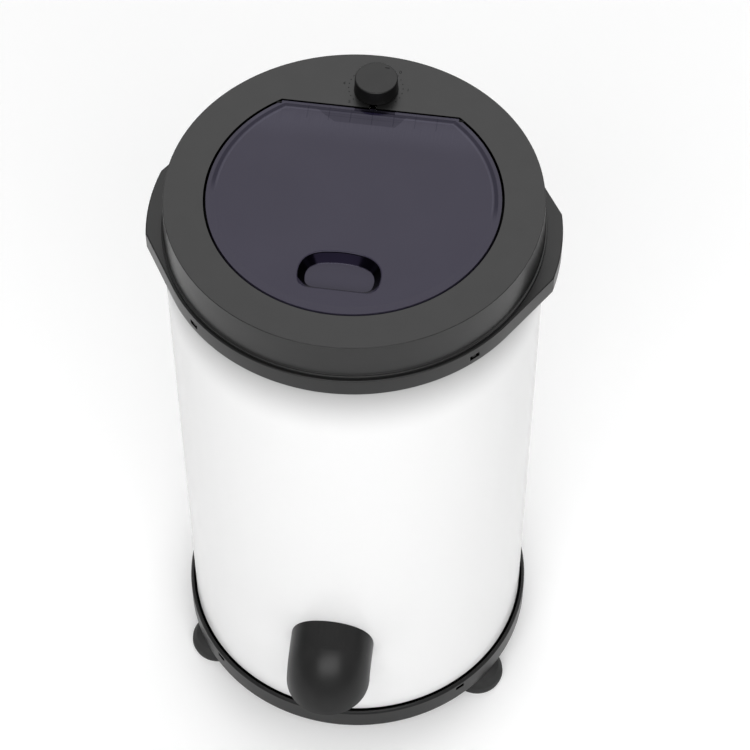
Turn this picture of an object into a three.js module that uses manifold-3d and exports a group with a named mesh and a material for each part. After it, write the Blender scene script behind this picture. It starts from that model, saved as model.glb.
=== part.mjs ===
// A free-standing laundry spin dryer, in millimetres with +Z up.
// Its front, with the drain spout, faces -Y. Every piece is a closed solid in its own named mesh.
// Most pieces turn about the drum's axis, so they are drawn round it and moved back together.

import * as THREE from 'three';
import { mergeVertices } from 'three/addons/utils/BufferGeometryUtils.js';
import Module from 'manifold-3d';

const wasm = await Module();
wasm.setup();

// Driving dimensions
const GAP = 0.3; // clearance between pieces that touch
const BODY_R = 175.8; // outside of the sheet steel casing
const SHEET = 0.7; // thickness of the casing's sheet
const INNER_LIP_R = BODY_R - SHEET - 2 * GAP; // plastic lips that reach inside the casing
const FOOT_H = 25;
const FOOT_R = 28;
const FOOT_RING_R = 164; // feet's centres from the drum's axis
const RING_R = 181.8; // base ring
const RING_TOP = 54.5;
const FLANGE_R = 178.6; // carrying flange under the cover
const FLANGE_Z = [622, 642];
const EAR_R = 190.5;
const EAR_HALF_ANGLE = 31.9; // degrees from an ear's middle to where its sides meet the rim
const COVER_R = 174;
const COVER_TOP = 682.5;
const COVER_EDGE_R = 172.5;
const LID_HOLE_R = 135.9;
const LID_R = 133.5;
const LID_MIDDLE_Y = -1.7; // middle of the lid's arc
const LID_CHORD_Y = 105.9; // straight rear edge of the lid's hole
const THROAT_R = 126;
const THROAT_CHORD_Y = 97;
const LEDGE_TOP = 672;
const HINGE_Y = 103.3;
const HINGE_Z = 680.3;
const HINGE_BEAD_R = 2;
const LID_CORNER = [82.6, 100.6]; // X and Y
const KNOB_X = 1.8;
const KNOB_Y = 129.8;
const KNOB_R = 20.8;
const KNOB_H = 15;
const SPOUT_R = 42;
const SPOUT_WALL = 3;
const SPOUT_REACH = 248; // furthest point of the spout from the drum's axis
const SPOUT_Z = 184.5; // where its axis leaves the casing
const SPOUT_SLOPE = 20; // degrees down
const SPOUT_BEND_R = 29;
const SPOUT_MOUTH_Z = 165;
const TUB_R = 160;
const DRUM_R = 141;
const DRUM_TOP = 603;
const SHAFT_R = 8;
const CARRIER_Z = 122; // plate that holds the motor
const MOUNT_RING_R = 140; // rubber mounts' centres from the drum's axis
const ROD_Y = 167; // brake rod behind the tub
const ARM_PIVOT = [80, 66]; // brake arm's pivot, Y and Z
const ROCKER_PIVOT = [150, 636]; // rocker's pivot, Y and Z
const SCREW_ANGLES = [45, 135, 225, 315]; // degrees from the front
const THIRDS = [0, 120, 240];
const FOOT_ANGLES = [60, 180, 300];

const DRUM_Y = (SPOUT_REACH - FOOT_RING_R - FOOT_R) / 2; // centres the object over the origin

const ROUND = 48; // sides of the outer rounds
const INNER = 24; // and of the tub and drum
const MEDIUM = 16;
const HIDDEN = 12; // rounds that the casing hides
const SMALL = 8;
const TINY = 6;
const LID_ARC = 15; // an arc in an outline gets twice as many sides

const radians = THREE.MathUtils.degToRad;

// Materials
const finish = (color, roughness, metalness) => new THREE.MeshStandardMaterial({ color, roughness, metalness });
const whitePaint = finish('#f1f2f2', 0.3, 0.1);
const greyPlastic = finish('#4b4b4c', 0.45, 0);
const blackPlastic = finish('#232324', 0.4, 0);
const lidPlastic = finish('#48444f', 0.15, 0);
const rubber = finish('#2b2b2b', 0.85, 0);
const palePlastic = finish('#c9c9c4', 0.5, 0);
const steel = finish('#a9abad', 0.35, 0.9);
const zincSteel = finish('#b4b4ae', 0.45, 0.8);
const castMetal = finish('#8f9193', 0.55, 0.7);
const copper = finish('#9a5f3c', 0.5, 0.6);
const lining = finish('#5a5148', 0.9, 0);

// Closed triangle mesh as a solid for cutting and joining
function solid(geometry) {
  const bare = geometry.clone();
  bare.deleteAttribute('normal');
  bare.deleteAttribute('uv');
  const merged = mergeVertices(bare, 1e-4);
  const corners = merged.attributes.position.array;
  const faces = [];
  let volume = 0;
  for (let i = 0; i < merged.index.count; i += 3) {
    const [a, b, c] = [0, 1, 2].map((k) => merged.index.array[i + k]);
    if (a === b || b === c || c === a) continue;
    const [p, q, r] = [a, b, c].map((k) => new THREE.Vector3().fromArray(corners, 3 * k));
    volume += p.dot(q.cross(r));
    faces.push([a, b, c]);
  }
  const outward = volume > 0 ? faces : faces.map(([a, b, c]) => [a, c, b]);
  const mesh = { numProp: 3, vertProperties: corners, triVerts: new Uint32Array(outward.flat()) };
  return new wasm.Manifold(new wasm.Mesh(mesh));
}

function geometryOf(body) {
  const mesh = body.getMesh();
  const geometry = new THREE.BufferGeometry();
  geometry.setAttribute('position', new THREE.BufferAttribute(mesh.vertProperties, 3));
  geometry.setIndex(new THREE.BufferAttribute(mesh.triVerts, 1));
  const faceted = geometry.toNonIndexed();
  faceted.computeVertexNormals();
  return faceted;
}

const join = (...bodies) => bodies.reduce((whole, body) => whole.add(body));
const cut = (body, ...tools) => tools.reduce((whole, tool) => whole.subtract(tool), body);

// Corner [x, y, fillet radius] points become an outline with round corners
function rounded(points, steps = 2) {
  const outline = [];
  points.forEach(([x, y, radius], i) => {
    const corner = new THREE.Vector2(x, y);
    if (!radius) {
      outline.push(corner);
      return;
    }
    const before = new THREE.Vector2(...points.at(i - 1)).sub(corner);
    const after = new THREE.Vector2(...points[(i + 1) % points.length]).sub(corner);
    const half = Math.abs(Math.atan2(before.cross(after), before.dot(after))) / 2;
    const reach = radius / Math.tan(half);
    const start = corner.clone().addScaledVector(before.normalize(), reach);
    const end = corner.clone().addScaledVector(after.normalize(), reach);
    const curve = new THREE.QuadraticBezierCurve(start, corner, end);
    outline.push(...curve.getPoints(steps));
  });
  return outline;
}

// Ring or disc turned round the vertical axis from an [r, z, fillet] profile
function turned(points, segments = ROUND, steps = 1) {
  const profile = rounded(points, steps);
  const onAxis = profile[0].x === 0 && profile.at(-1).x === 0;
  if (!onAxis) profile.push(profile[0].clone());
  const geometry = new THREE.LatheGeometry(profile, segments);
  geometry.rotateX(Math.PI / 2);
  return solid(geometry);
}

// Sheet of one thickness turned from the [r, z, fillet] line of its outer face
function turnedSheet(points, thickness, segments = ROUND, steps = 1) {
  const line = points.map(([r, z, fillet]) => new THREE.Vector3(r, z, fillet ?? 0));
  const inner = line.map((point, i) => {
    const before = line[Math.max(i - 1, 0)];
    const after = line[Math.min(i + 1, line.length - 1)];
    const first = i > 0 ? normalOf(before, point) : normalOf(point, after);
    const second = i < line.length - 1 ? normalOf(point, after) : first;
    const middle = first.clone().add(second);
    middle.multiplyScalar(thickness / middle.dot(first));
    const turn = first.cross(second);
    const fillet = point.z ? Math.max(point.z + (turn < 0 ? thickness : -thickness), 0.4) : 0;
    return [point.x + middle.x, point.y + middle.y, fillet];
  });
  return turned([...points, ...inner.reverse()], segments, steps);
}

// Unit normal to the left of the way from one profile point to the next
function normalOf(from, to) {
  return new THREE.Vector2(from.y - to.y, to.x - from.x).normalize();
}

function prism(outline, bottom, top, curveSegments = 12) {
  const shape = outline instanceof THREE.Shape ? outline : new THREE.Shape(outline);
  const options = { depth: top - bottom, bevelEnabled: false, curveSegments };
  const geometry = new THREE.ExtrudeGeometry(shape, options);
  geometry.translate(0, 0, bottom);
  return solid(geometry);
}

function box(x, y, z) {
  const geometry = new THREE.BoxGeometry(x[1] - x[0], y[1] - y[0], z[1] - z[0]);
  geometry.translate((x[0] + x[1]) / 2, (y[0] + y[1]) / 2, (z[0] + z[1]) / 2);
  return solid(geometry);
}

// Round bar between two points, or a cone when its end radius differs
function bar(radius, from, to, segments = SMALL, endRadius = radius) {
  const start = new THREE.Vector3(...from);
  const way = new THREE.Vector3(...to).sub(start);
  const geometry = new THREE.CylinderGeometry(endRadius, radius, way.length(), segments);
  geometry.translate(0, way.length() / 2, 0);
  const turn = new THREE.Quaternion().setFromUnitVectors(new THREE.Vector3(0, 1, 0), way.normalize());
  geometry.applyQuaternion(turn);
  geometry.translate(start.x, start.y, start.z);
  return solid(geometry);
}

// Point at an angle from the front, positive towards +X
function around(radius, angle, z = 0) {
  return [radius * Math.sin(radians(angle)), -radius * Math.cos(radians(angle)), z];
}

// Plane circle closed by a straight rear edge, as used by the lid and its seat
function lidOutline(radius, chordY, middleY = 0) {
  const half = Math.acos((chordY - middleY) / radius);
  const shape = new THREE.Shape();
  shape.absarc(0, middleY, radius, Math.PI / 2 + half, Math.PI / 2 - half + 2 * Math.PI, false);
  return shape;
}

// The lid itself, whose rear corners stop short so that they clear the seat as it swings
function lidEdge(inset) {
  const radius = LID_R - inset;
  const x = LID_CORNER[0] - inset;
  const y = LID_CORNER[1] - inset;
  const start = Math.asin((y - LID_MIDDLE_Y) / radius);
  const shape = new THREE.Shape();
  shape.moveTo(-x, HINGE_Y - inset);
  shape.lineTo(-x, y);
  shape.absarc(0, LID_MIDDLE_Y, radius, Math.PI - start, 2 * Math.PI + start, false);
  shape.lineTo(x, y);
  shape.lineTo(x, HINGE_Y - inset);
  return shape;
}

// Points along an arc round the drum's axis, its angles taken from the front
function arcPoints(radius, from, to, steps) {
  return Array.from({ length: steps + 1 }, (_, i) => {
    const [x, y] = around(radius, from + ((to - from) * i) / steps);
    return new THREE.Vector2(x, y);
  });
}

const group = new THREE.Group();
group.name = 'spin_dryer';
group.position.y = DRUM_Y;

function add(name, body, material, position = [0, 0, 0], turn = 0) {
  const mesh = new THREE.Mesh(geometryOf(body), material);
  mesh.name = name;
  mesh.position.set(...position);
  mesh.rotation.z = radians(turn);
  group.add(mesh);
}

// Feet

const FOOT_BOLT_R = 3;

function foot() {
  return turned([
    [4, 7], [4, FOOT_H - GAP], [14, FOOT_H - GAP], [23, 19], [27, 13], [FOOT_R, 7], [26.5, 0], [10, 0],
    [10, 7],
  ], MEDIUM);
}

function footScrew() {
  const head = bar(8, [0, 0, 3], [0, 0, 6.7], SMALL);
  const shank = bar(FOOT_BOLT_R, [0, 0, 6.5], [0, 0, 38], TINY);
  return join(head, shank);
}

function addFeet() {
  FOOT_ANGLES.forEach((angle, i) => {
    const place = around(FOOT_RING_R, angle);
    add(`foot_${i + 1}`, foot(), rubber, place, angle);
    add(`foot_screw_${i + 1}`, footScrew(), zincSteel, place, angle);
  });
}

// Base ring: an outer wall, a groove that takes the casing's lower edge, and a floor with bosses

const BASE_SCREW_Z = 47;
const FLANGE_SCREW_Z = 631;
const SLOT = [10.5, 5.4]; // width and height of the screw openings
const GRILLE_R = 112;

function slotTool(angle, z, inner, outer) {
  const [width, height] = SLOT;
  const tool = box([-width / 2, width / 2], [-outer, -inner], [z - height / 2, z + height / 2]);
  return tool.rotate([0, 0, angle]);
}

function baseRing() {
  const ring = turned([
    [GRILLE_R + GAP, FOOT_H], [RING_R - 3.5, FOOT_H], [RING_R, 33], [RING_R, 52.3], [RING_R - 1.8, RING_TOP],
    [178.5, RING_TOP], [178.5, 36],
    [INNER_LIP_R, 36], [INNER_LIP_R, 50], [170.5, 50], [170.5, 29], [GRILLE_R + GAP, 29],
  ]);
  const bosses = FOOT_ANGLES.map((angle) => {
    const foot = around(FOOT_RING_R, angle, 28);
    return bar(7, foot, [foot[0], foot[1], 44], SMALL);
  });
  const holes = FOOT_ANGLES.map((angle) => {
    const foot = around(FOOT_RING_R, angle, 20);
    return bar(FOOT_BOLT_R + GAP, foot, [foot[0], foot[1], 38.6], TINY);
  });
  const slots = SCREW_ANGLES.map((angle) => slotTool(angle, BASE_SCREW_Z, 177, 190));
  const threads = SCREW_ANGLES.map((angle) => {
    return bar(1.8, around(165, angle, BASE_SCREW_Z), around(179, angle, BASE_SCREW_Z), TINY);
  });
  return cut(join(ring, ...bosses), ...holes, ...slots, ...threads);
}

// Screw that lies along a radius with its head outside the casing
function casingScrew(shankLength) {
  const head = bar(2.4, [0, -BODY_R - 1.9, 0], [0, -BODY_R - 0.4, 0], TINY);
  const shank = bar(1.4, [0, -BODY_R - 0.5, 0], [0, -BODY_R + shankLength, 0], TINY);
  return join(head, shank);
}

function addCasingScrews() {
  SCREW_ANGLES.forEach((angle, i) => {
    add(`base_screw_${i + 1}`, casingScrew(4.6), zincSteel, [0, 0, BASE_SCREW_Z], angle);
    add(`flange_screw_${i + 1}`, casingScrew(4.6), zincSteel, [0, 0, FLANGE_SCREW_Z], angle);
  });
}

// Slotted floor under the motor
function baseGrille() {
  const disc = turned([[0, 25.5], [GRILLE_R, 25.5], [GRILLE_R, 28.5], [0, 28.5]], INNER);
  const slots = [];
  for (let row = -3; row <= 3; row += 1) {
    const y = row * 22;
    const reach = Math.sqrt(88 ** 2 - y ** 2);
    slots.push(box([-reach, -5], [y - 4.5, y + 4.5], [20, 35]));
    slots.push(box([5, reach], [y - 4.5, y + 4.5], [20, 35]));
  }
  return cut(disc, ...slots);
}

// Casing: one rolled sheet with the spout's opening, the screw holes and the cord inlet

const SPOUT_START = [0, -BODY_R, SPOUT_Z];
const SPOUT_DOWN = radians(SPOUT_SLOPE);
const COLLAR_R = 34;
const INLET = { angle: 152, z: 88, radius: 8 };

// Point on the spout's axis, a distance out from the casing
function alongSpout(distance) {
  const [x, y, z] = SPOUT_START;
  return [x, y - distance * Math.cos(SPOUT_DOWN), z - distance * Math.sin(SPOUT_DOWN)];
}

function bodyShell() {
  const tube = turned([
    [BODY_R - SHEET, 36.4], [BODY_R, 36.4], [BODY_R, 636], [BODY_R - SHEET, 636],
  ]);
  const screws = SCREW_ANGLES.flatMap((angle) => [BASE_SCREW_Z, FLANGE_SCREW_Z].map((z) => {
    return bar(1.8, around(160, angle, z), around(190, angle, z), TINY);
  }));
  const outlet = bar(COLLAR_R + 1, alongSpout(-40), alongSpout(30), MEDIUM);
  const [inletStart, inletEnd] = [150, 200].map((radius) => around(radius, INLET.angle, INLET.z));
  const inlet = bar(INLET.radius, inletStart, inletEnd, SMALL);
  return cut(tube, outlet, inlet, ...screws);
}

// Rubber sleeve for the mains cord: its body passes through the sheet and its flange lies outside
function cordGrommet() {
  const face = BODY_R + GAP;
  const sleeve = turned([
    [3.5, 172], [INLET.radius - GAP, 172], [INLET.radius - GAP, face - 2], [12, face - 2], [12, face + 2.4],
    [8, face + 5, 1], [3.5, face + 5],
  ], SMALL, 2).rotate([90, 0, 0]);
  const casing = turned([[0, -30], [face, -30], [face, 30], [0, 30]]);
  const opening = bar(INLET.radius - GAP, [0, 0, 0], [0, -200, 0], SMALL);
  return cut(sleeve, cut(casing, opening));
}

// Carrying flange: a rim with two ears that are hollow underneath, and a lip inside the casing

const FLANGE_WALL = 2.4;
const FLANGE_WEB = 3;
const TUB_LEDGE = [611.7, 615];

function earOutline(inset) {
  const rim = FLANGE_R - inset;
  const ear = EAR_R - inset;
  const tip = EAR_HALF_ANGLE - THREE.MathUtils.radToDeg(Math.acos(rim / ear));
  const half = [
    ...arcPoints(ear, 90 - tip, 90 + tip, 4),
    ...arcPoints(rim, 90 + EAR_HALF_ANGLE, 270 - EAR_HALF_ANGLE, 16),
  ];
  const otherHalf = half.map((point) => point.clone().negate());
  return [...half, ...otherHalf];
}

function rodNotch(bottom, top) {
  return box([-6, 6], [161.3, 172], [bottom, top]);
}

function carryFlange() {
  const [bottom, top] = FLANGE_Z;
  const edge = 1.2;
  const rim = join(prism(earOutline(0), bottom, top - edge), prism(earOutline(edge), top - edge - 0.01, top));
  const hollow = prism(earOutline(FLANGE_WALL), bottom - 1, top - FLANGE_WEB);
  const middle = turned([[0, bottom - 1], [168, bottom - 1], [168, top + 1], [0, top + 1]]);
  const shell = cut(rim, hollow, middle);
  const lip = turned([
    [164, TUB_LEDGE[0]], [INNER_LIP_R, TUB_LEDGE[0]], [INNER_LIP_R, top - 1], [171.3, top - 1],
    [171.3, TUB_LEDGE[1]], [164, TUB_LEDGE[1]],
  ], INNER);
  const ribs = [75, 105, 255, 285].map((angle) => {
    return box([-1.2, 1.2], [-EAR_R + 6, -BODY_R - 1], [bottom + 8, top - 1]).rotate([0, 0, angle]);
  });
  const slots = SCREW_ANGLES.map((angle) => slotTool(angle, FLANGE_SCREW_Z, 175, 190));
  const threads = SCREW_ANGLES.map((angle) => {
    return bar(1.8, around(166, angle, FLANGE_SCREW_Z), around(179, angle, FLANGE_SCREW_Z), TINY);
  });
  return cut(join(shell, lip, ...ribs), ...slots, ...threads, rodNotch(610, 650));
}

// Top cover: a rounded cap with the lid's seat, a throat down to the tub and the hinge's pin seats

const THROAT_WALL = 3;
const PIN_R = 1.2;
const PIN_X = [78, 93];
const TONGUE_HALF = 2.3;
const TONGUE_TIP_Y = 110.6;
const TONGUE_SLOT_FRONT = 100.4; // leaves room for the rocker as it tips
const NUT_HOLE_R = 5.4;

function topCover() {
  const bottom = FLANGE_Z[1] + GAP;
  const cap = turned([
    [0, COVER_TOP], [COVER_EDGE_R, COVER_TOP, 3], [COVER_R, 646], [176, 645.4], [176, bottom], [171, bottom],
    [169.5, 679, 2], [0, 679],
  ]);
  const seatOutline = (wall) => lidOutline(LID_HOLE_R + wall, LID_CHORD_Y + wall, LID_MIDDLE_Y);
  const seat = prism(seatOutline(THROAT_WALL), LEDGE_TOP - 3, 680, LID_ARC);
  const throat = prism(lidOutline(THROAT_R + THROAT_WALL, THROAT_CHORD_Y + THROAT_WALL), 625, 671, LID_ARC);
  const seatHole = prism(seatOutline(0), LEDGE_TOP, 690, LID_ARC);
  const throatHole = prism(lidOutline(THROAT_R, THROAT_CHORD_Y), 620, 690, LID_ARC);
  const bosses = [-1, 1].map((side) => {
    const x = [side * 78, side * 98].sort((a, b) => a - b);
    return box(x, [HINGE_Y - 3, 109], [LEDGE_TOP - 3, 680]);
  });
  const pinEnd = PIN_X[1] + GAP;
  const pins = bar(PIN_R + GAP, [-pinEnd, HINGE_Y, HINGE_Z], [pinEnd, HINGE_Y, HINGE_Z], TINY);
  const slotX = [KNOB_X - TONGUE_HALF - 1, KNOB_X + TONGUE_HALF + 1];
  const tongueSlot = box(slotX, [TONGUE_SLOT_FRONT, TONGUE_TIP_Y + 0.9], [660, 690]);
  const timerHole = bar(NUT_HOLE_R, [KNOB_X, KNOB_Y, 670], [KNOB_X, KNOB_Y, 690], SMALL);
  const whole = join(cap, seat, throat, ...bosses);
  return cut(whole, seatHole, throatHole, pins, tongueSlot, timerHole);
}

// Lid: a shallow cap with a rolled rear edge, a finger recess and the tongue that works the brake

const LID_TOP = COVER_TOP - 0.3;
const LID_SKIRT_Z = LEDGE_TOP + 0.5;
const PLATE = 3;
const SKIRT = 2.6;
const DISH_INSET = 8.5; // the panel inside the lid's rim lies a little lower
const DISH_DEPTH = 1;
const RECESS_MIDDLE = new THREE.Vector2(0, -86.5);
const RECESS_CORNERS = [
  [-34, -108, 12], [34, -108, 12], [39.5, -89, 16], [33, -71.5, 12], [0, -65, 60], [-33, -71.5, 12],
  [-39.5, -89, 16],
];
const RECESS_DEPTH = 10;
const RECESS_DRAFT = new THREE.Vector2(0.84, 0.68); // floor's width and length against the opening's

function recessOutline(scale, grow) {
  return rounded(RECESS_CORNERS, 2).map((point) => {
    const away = point.clone().sub(RECESS_MIDDLE).multiply(scale);
    return away.addScaledVector(away.clone().normalize(), grow).add(RECESS_MIDDLE);
  });
}

// Pocket whose walls draw in towards its floor
function draftedPocket(bottom, top, grow) {
  const upper = recessOutline(new THREE.Vector2(1, 1), grow);
  const lower = recessOutline(RECESS_DRAFT, grow);
  const shape = new THREE.Shape(upper);
  const geometry = new THREE.ExtrudeGeometry(shape, { depth: 1, bevelEnabled: false });
  const place = geometry.attributes.position;
  for (let i = 0; i < place.count; i += 1) {
    const high = place.getZ(i) > 0.5;
    const here = new THREE.Vector2(place.getX(i), place.getY(i));
    const nearest = upper.findIndex((point) => point.distanceTo(here) < 1e-3);
    const target = high ? upper[nearest] : lower[nearest];
    place.setXYZ(i, target.x, target.y, high ? top : bottom);
  }
  return solid(geometry);
}

function lidPanel() {
  const plate = prism(lidEdge(0), LID_TOP - PLATE, LID_TOP, LID_ARC);
  const dish = prism(lidEdge(DISH_INSET), LID_TOP - DISH_DEPTH, LID_TOP + 1, LID_ARC);
  const outside = prism(lidEdge(0), LID_SKIRT_Z, LID_TOP - 1, LID_ARC);
  const inside = prism(lidOutline(LID_R - SKIRT, 97, LID_MIDDLE_Y), 660, LID_TOP - PLATE, LID_ARC);
  const behind = box([-140, 140], [98.6, 120], [660, HINGE_Z - 1]);
  const skirt = cut(outside, inside, behind);
  const [beadEnd] = LID_CORNER;
  const bead = bar(HINGE_BEAD_R, [-beadEnd, HINGE_Y, HINGE_Z], [beadEnd, HINGE_Y, HINGE_Z], SMALL);
  const tongueX = [KNOB_X - TONGUE_HALF, KNOB_X + TONGUE_HALF];
  const tongue = box(tongueX, [HINGE_Y, TONGUE_TIP_Y], [678.6, 681.6]);
  const bracket = prism(rounded([[-50, 99.5], [-37, 86, 3], [37, 86, 3], [50, 99.5]]), 676.4, 679.6);
  const ribs = [-37, -17, 3, 23, 43].map((x) => box([x - 1, x + 1], [82, 100], [674.6, 679.6]));
  const pocket = draftedPocket(LID_TOP - RECESS_DEPTH - 2, LID_TOP - 2, 2);
  const recess = draftedPocket(LID_TOP - RECESS_DEPTH, LID_TOP + 1, 0);
  const pins = [-1, 1].map((side) => {
    return bar(PIN_R + GAP, [side * (PIN_X[0] - 1), HINGE_Y, HINGE_Z], [side * 95, HINGE_Y, HINGE_Z], TINY);
  });
  const shell = join(cut(plate, dish), skirt, bead, tongue, bracket, ...ribs, pocket);
  return cut(shell, recess, ...pins);
}

function addHingePins() {
  [-1, 1].forEach((side) => {
    const pin = bar(PIN_R, [side * PIN_X[0], 0, 0], [side * PIN_X[1], 0, 0], TINY);
    add(side < 0 ? 'hinge_pin_left' : 'hinge_pin_right', pin, blackPlastic, [0, HINGE_Y, HINGE_Z]);
  });
}

// Rubber between the throat and the tub's cover
function mouthSeal() {
  const outside = prism(lidOutline(THROAT_R + 4, THROAT_CHORD_Y + 4), 621.9, 624.7, LID_ARC);
  return cut(outside, prism(lidOutline(THROAT_R - 1, THROAT_CHORD_Y - 1), 610, 640, LID_ARC));
}

// Timer, its nut, its spindle and the knob

const TIMER_Z = [651, COVER_TOP - 3.5 - GAP];

function timerBody() {
  const corners = [[-20, -16, 3], [20, -16, 3], [20, 16, 3], [-20, 16, 3]];
  const can = prism(rounded(corners, 2), ...TIMER_Z);
  const bush = bar(5, [0, 0, TIMER_Z[1] - 1], [0, 0, COVER_TOP + 3.6], SMALL);
  const bore = bar(2.9, [0, 0, TIMER_Z[0] + 6], [0, 0, COVER_TOP + 10], SMALL);
  const tabZ = [TIMER_Z[0] - 8, TIMER_Z[0] + 1];
  const tabs = [-9, 9].map((x) => box([x - 3, x + 3], [-0.6, 0.6], tabZ));
  return cut(join(can, bush, ...tabs), bore);
}

function timerNut() {
  const hexagon = bar(8, [0, 0, COVER_TOP + GAP], [0, 0, COVER_TOP + 3], 6);
  return cut(hexagon, bar(5.3, [0, 0, COVER_TOP - 1], [0, 0, COVER_TOP + 5], SMALL));
}

function timerSpindle() {
  const round = bar(2.6, [0, 0, TIMER_Z[0] + 6.5], [0, 0, COVER_TOP + 13], SMALL);
  return cut(round, box([-4, 4], [1.6, 4], [COVER_TOP + 5, COVER_TOP + 14]));
}

function controlKnob() {
  const base = COVER_TOP + 0.7;
  const top = base + KNOB_H;
  const skirt = turned([
    [0, base + 3.6], [11, base + 3.6], [11, base], [KNOB_R, base], [KNOB_R - 0.4, base + 2.5],
    [KNOB_R - 0.9, top, 1.4], [0, top],
  ], INNER, 2);
  const pointer = box([-0.9, 0.9], [9, 18], [top - 0.6, top + 1]).rotate([0, 0, -25]);
  const round = bar(2.9, [0, 0, base - 1], [0, 0, COVER_TOP + 13.3], SMALL);
  const flat = box([-4, 4], [1.9, 4], [COVER_TOP + 5.3, COVER_TOP + 14]);
  return cut(skirt, pointer, cut(round, flat));
}

// Outer tub: catches the water and lets it out at the front through a sloping stub

const STUB_R = 17;
const TUB_RIM_R = 170.4;
const TUB_RIM = [TUB_LEDGE[1] + GAP, TUB_LEDGE[1] + GAP + 3];

function outerTub() {
  const wall = 2.5;
  const tub = turned([
    [44, 192], [44, 174], [150, 164], [TUB_R, 176], [TUB_R, TUB_RIM[0]], [TUB_RIM_R, TUB_RIM[0]],
    [TUB_RIM_R, TUB_RIM[1]], [TUB_R - wall, TUB_RIM[1]], [TUB_R - wall, 177], [149, 167], [46.5, 177],
    [46.5, 192],
  ], INNER);
  const stub = bar(STUB_R, alongSpout(-22), alongSpout(9), MEDIUM);
  const bore = bar(STUB_R - wall, alongSpout(-40), alongSpout(20), MEDIUM);
  const inside = turned([[0, 167], [149, 167], [TUB_R - wall, 177], [TUB_R - wall, 300], [0, 300]], INNER);
  const trimmed = cut(stub, inside);
  return cut(join(tub, trimmed), bore, rodNotch(610, 620));
}

function tubCover() {
  const bottom = TUB_RIM[1] + GAP;
  const ring = turned([
    [119, bottom - 7], [121, bottom - 7], [121, bottom], [TUB_RIM_R, bottom], [TUB_RIM_R, bottom + 3],
    [119, bottom + 3],
  ], INNER);
  return cut(ring, rodNotch(610, 625));
}

// Spout: a round elbow whose root sits on the casing and whose collar reaches inside

function elbow(radius, extend) {
  const level = SPOUT_REACH - BODY_R - SPOUT_BEND_R * (1 - Math.sin(SPOUT_DOWN)) - SPOUT_R;
  const straight = level / Math.cos(SPOUT_DOWN);
  const [, bendY, bendZ] = alongSpout(straight);
  const centreY = bendY + SPOUT_BEND_R * Math.sin(SPOUT_DOWN);
  const centreZ = bendZ - SPOUT_BEND_R * Math.cos(SPOUT_DOWN);
  const hub = new THREE.Shape();
  const reach = Math.sqrt(radius ** 2 - SPOUT_BEND_R ** 2);
  const from = Math.atan2(reach, -SPOUT_BEND_R);
  hub.absarc(SPOUT_BEND_R, 0, radius, -from, from, false);
  const profile = [[0, -reach], ...hub.getPoints(8).slice(1, -1).map((p) => [p.x, p.y]), [0, reach]];
  const tyre = turned(profile, 20).rotate([0, 90, 0]).translate([0, centreY, centreZ]);
  const wedge = [[0, 0]];
  const far = 200;
  for (const turn of [0, 0.34, 0.67, 1]) {
    const angle = Math.PI / 2 + SPOUT_DOWN + turn * (Math.PI / 2 - SPOUT_DOWN);
    wedge.push([Math.cos(angle) * far, Math.sin(angle) * far]);
  }
  const slice = new THREE.Shape(wedge.map(([y, z]) => new THREE.Vector2(y, z)));
  const sector = prism(slice, -100, 100).rotate([90, 0, 90]).translate([0, centreY, centreZ]);
  const bend = tyre.intersect(sector);
  const run = bar(radius, alongSpout(-extend), alongSpout(straight + 0.01), 20);
  const drop = bar(radius, [0, centreY - SPOUT_BEND_R, centreZ + 0.01], [0, centreY - SPOUT_BEND_R, 100], 20);
  return join(bend, run, drop);
}

function drainSpout() {
  const casing = turned([[0, 0], [BODY_R + GAP, 0], [BODY_R + GAP, 400], [0, 400]], 2 * ROUND);
  const below = box([-100, 100], [-300, 0], [0, SPOUT_MOUTH_Z]);
  const outside = cut(elbow(SPOUT_R, 40), casing);
  const ends = turned([[0, 100], [166, 100], [166, 300], [0, 300]]);
  const collar = cut(bar(COLLAR_R, alongSpout(-30), alongSpout(12), MEDIUM), ends);
  const bore = elbow(SPOUT_R - SPOUT_WALL, 40);
  const collarBore = bar(COLLAR_R - 2.5, alongSpout(-40), alongSpout(30), MEDIUM);
  const web = turned([[0, 100], [BODY_R + 3.2, 100], [BODY_R + 3.2, 300], [0, 300]], 2 * ROUND);
  return cut(join(outside, collar), cut(bore, web), collarBore, below);
}

// Disc that closes the space between the tub's stub and the spout's collar
function outletGasket() {
  const disc = bar(COLLAR_R - 2.8, alongSpout(-1), alongSpout(3), MEDIUM);
  return cut(disc, bar(STUB_R + GAP, alongSpout(-5), alongSpout(8), MEDIUM));
}

// Drum: spun sheet with a domed floor, rolled mouth and rows of water holes

const DRUM_SHEET = 0.8;
const DRUM_FLOOR = 214.3;
const HOLE_ROWS = 3;
const HOLES_PER_ROW = 8;

function spinDrum() {
  const sheet = turnedSheet([
    [SHAFT_R + 0.1, DRUM_FLOOR], [34, DRUM_FLOOR], [62, 199], [126, 199], [137, 206], [DRUM_R, 217],
    [DRUM_R, 588], [116, DRUM_TOP], [110, DRUM_TOP - 1], [110, DRUM_TOP - 4],
  ], DRUM_SHEET, INNER);
  const holes = [];
  for (let row = 0; row < HOLE_ROWS; row += 1) {
    const z = 270 + row * 130;
    for (let i = 0; i < HOLES_PER_ROW; i += 1) {
      const angle = ((i + (row % 2) / 2) * 360) / HOLES_PER_ROW;
      holes.push(bar(3.2, around(130, angle, z), around(150, angle, z), 4));
    }
  }
  return cut(sheet, ...holes);
}

function drumHub() {
  return turned([
    [SHAFT_R + 0.1, 198], [16, 198], [16, 205], [32, 209.5], [32, 214], [SHAFT_R + 0.1, 214],
  ], HIDDEN);
}

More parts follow.
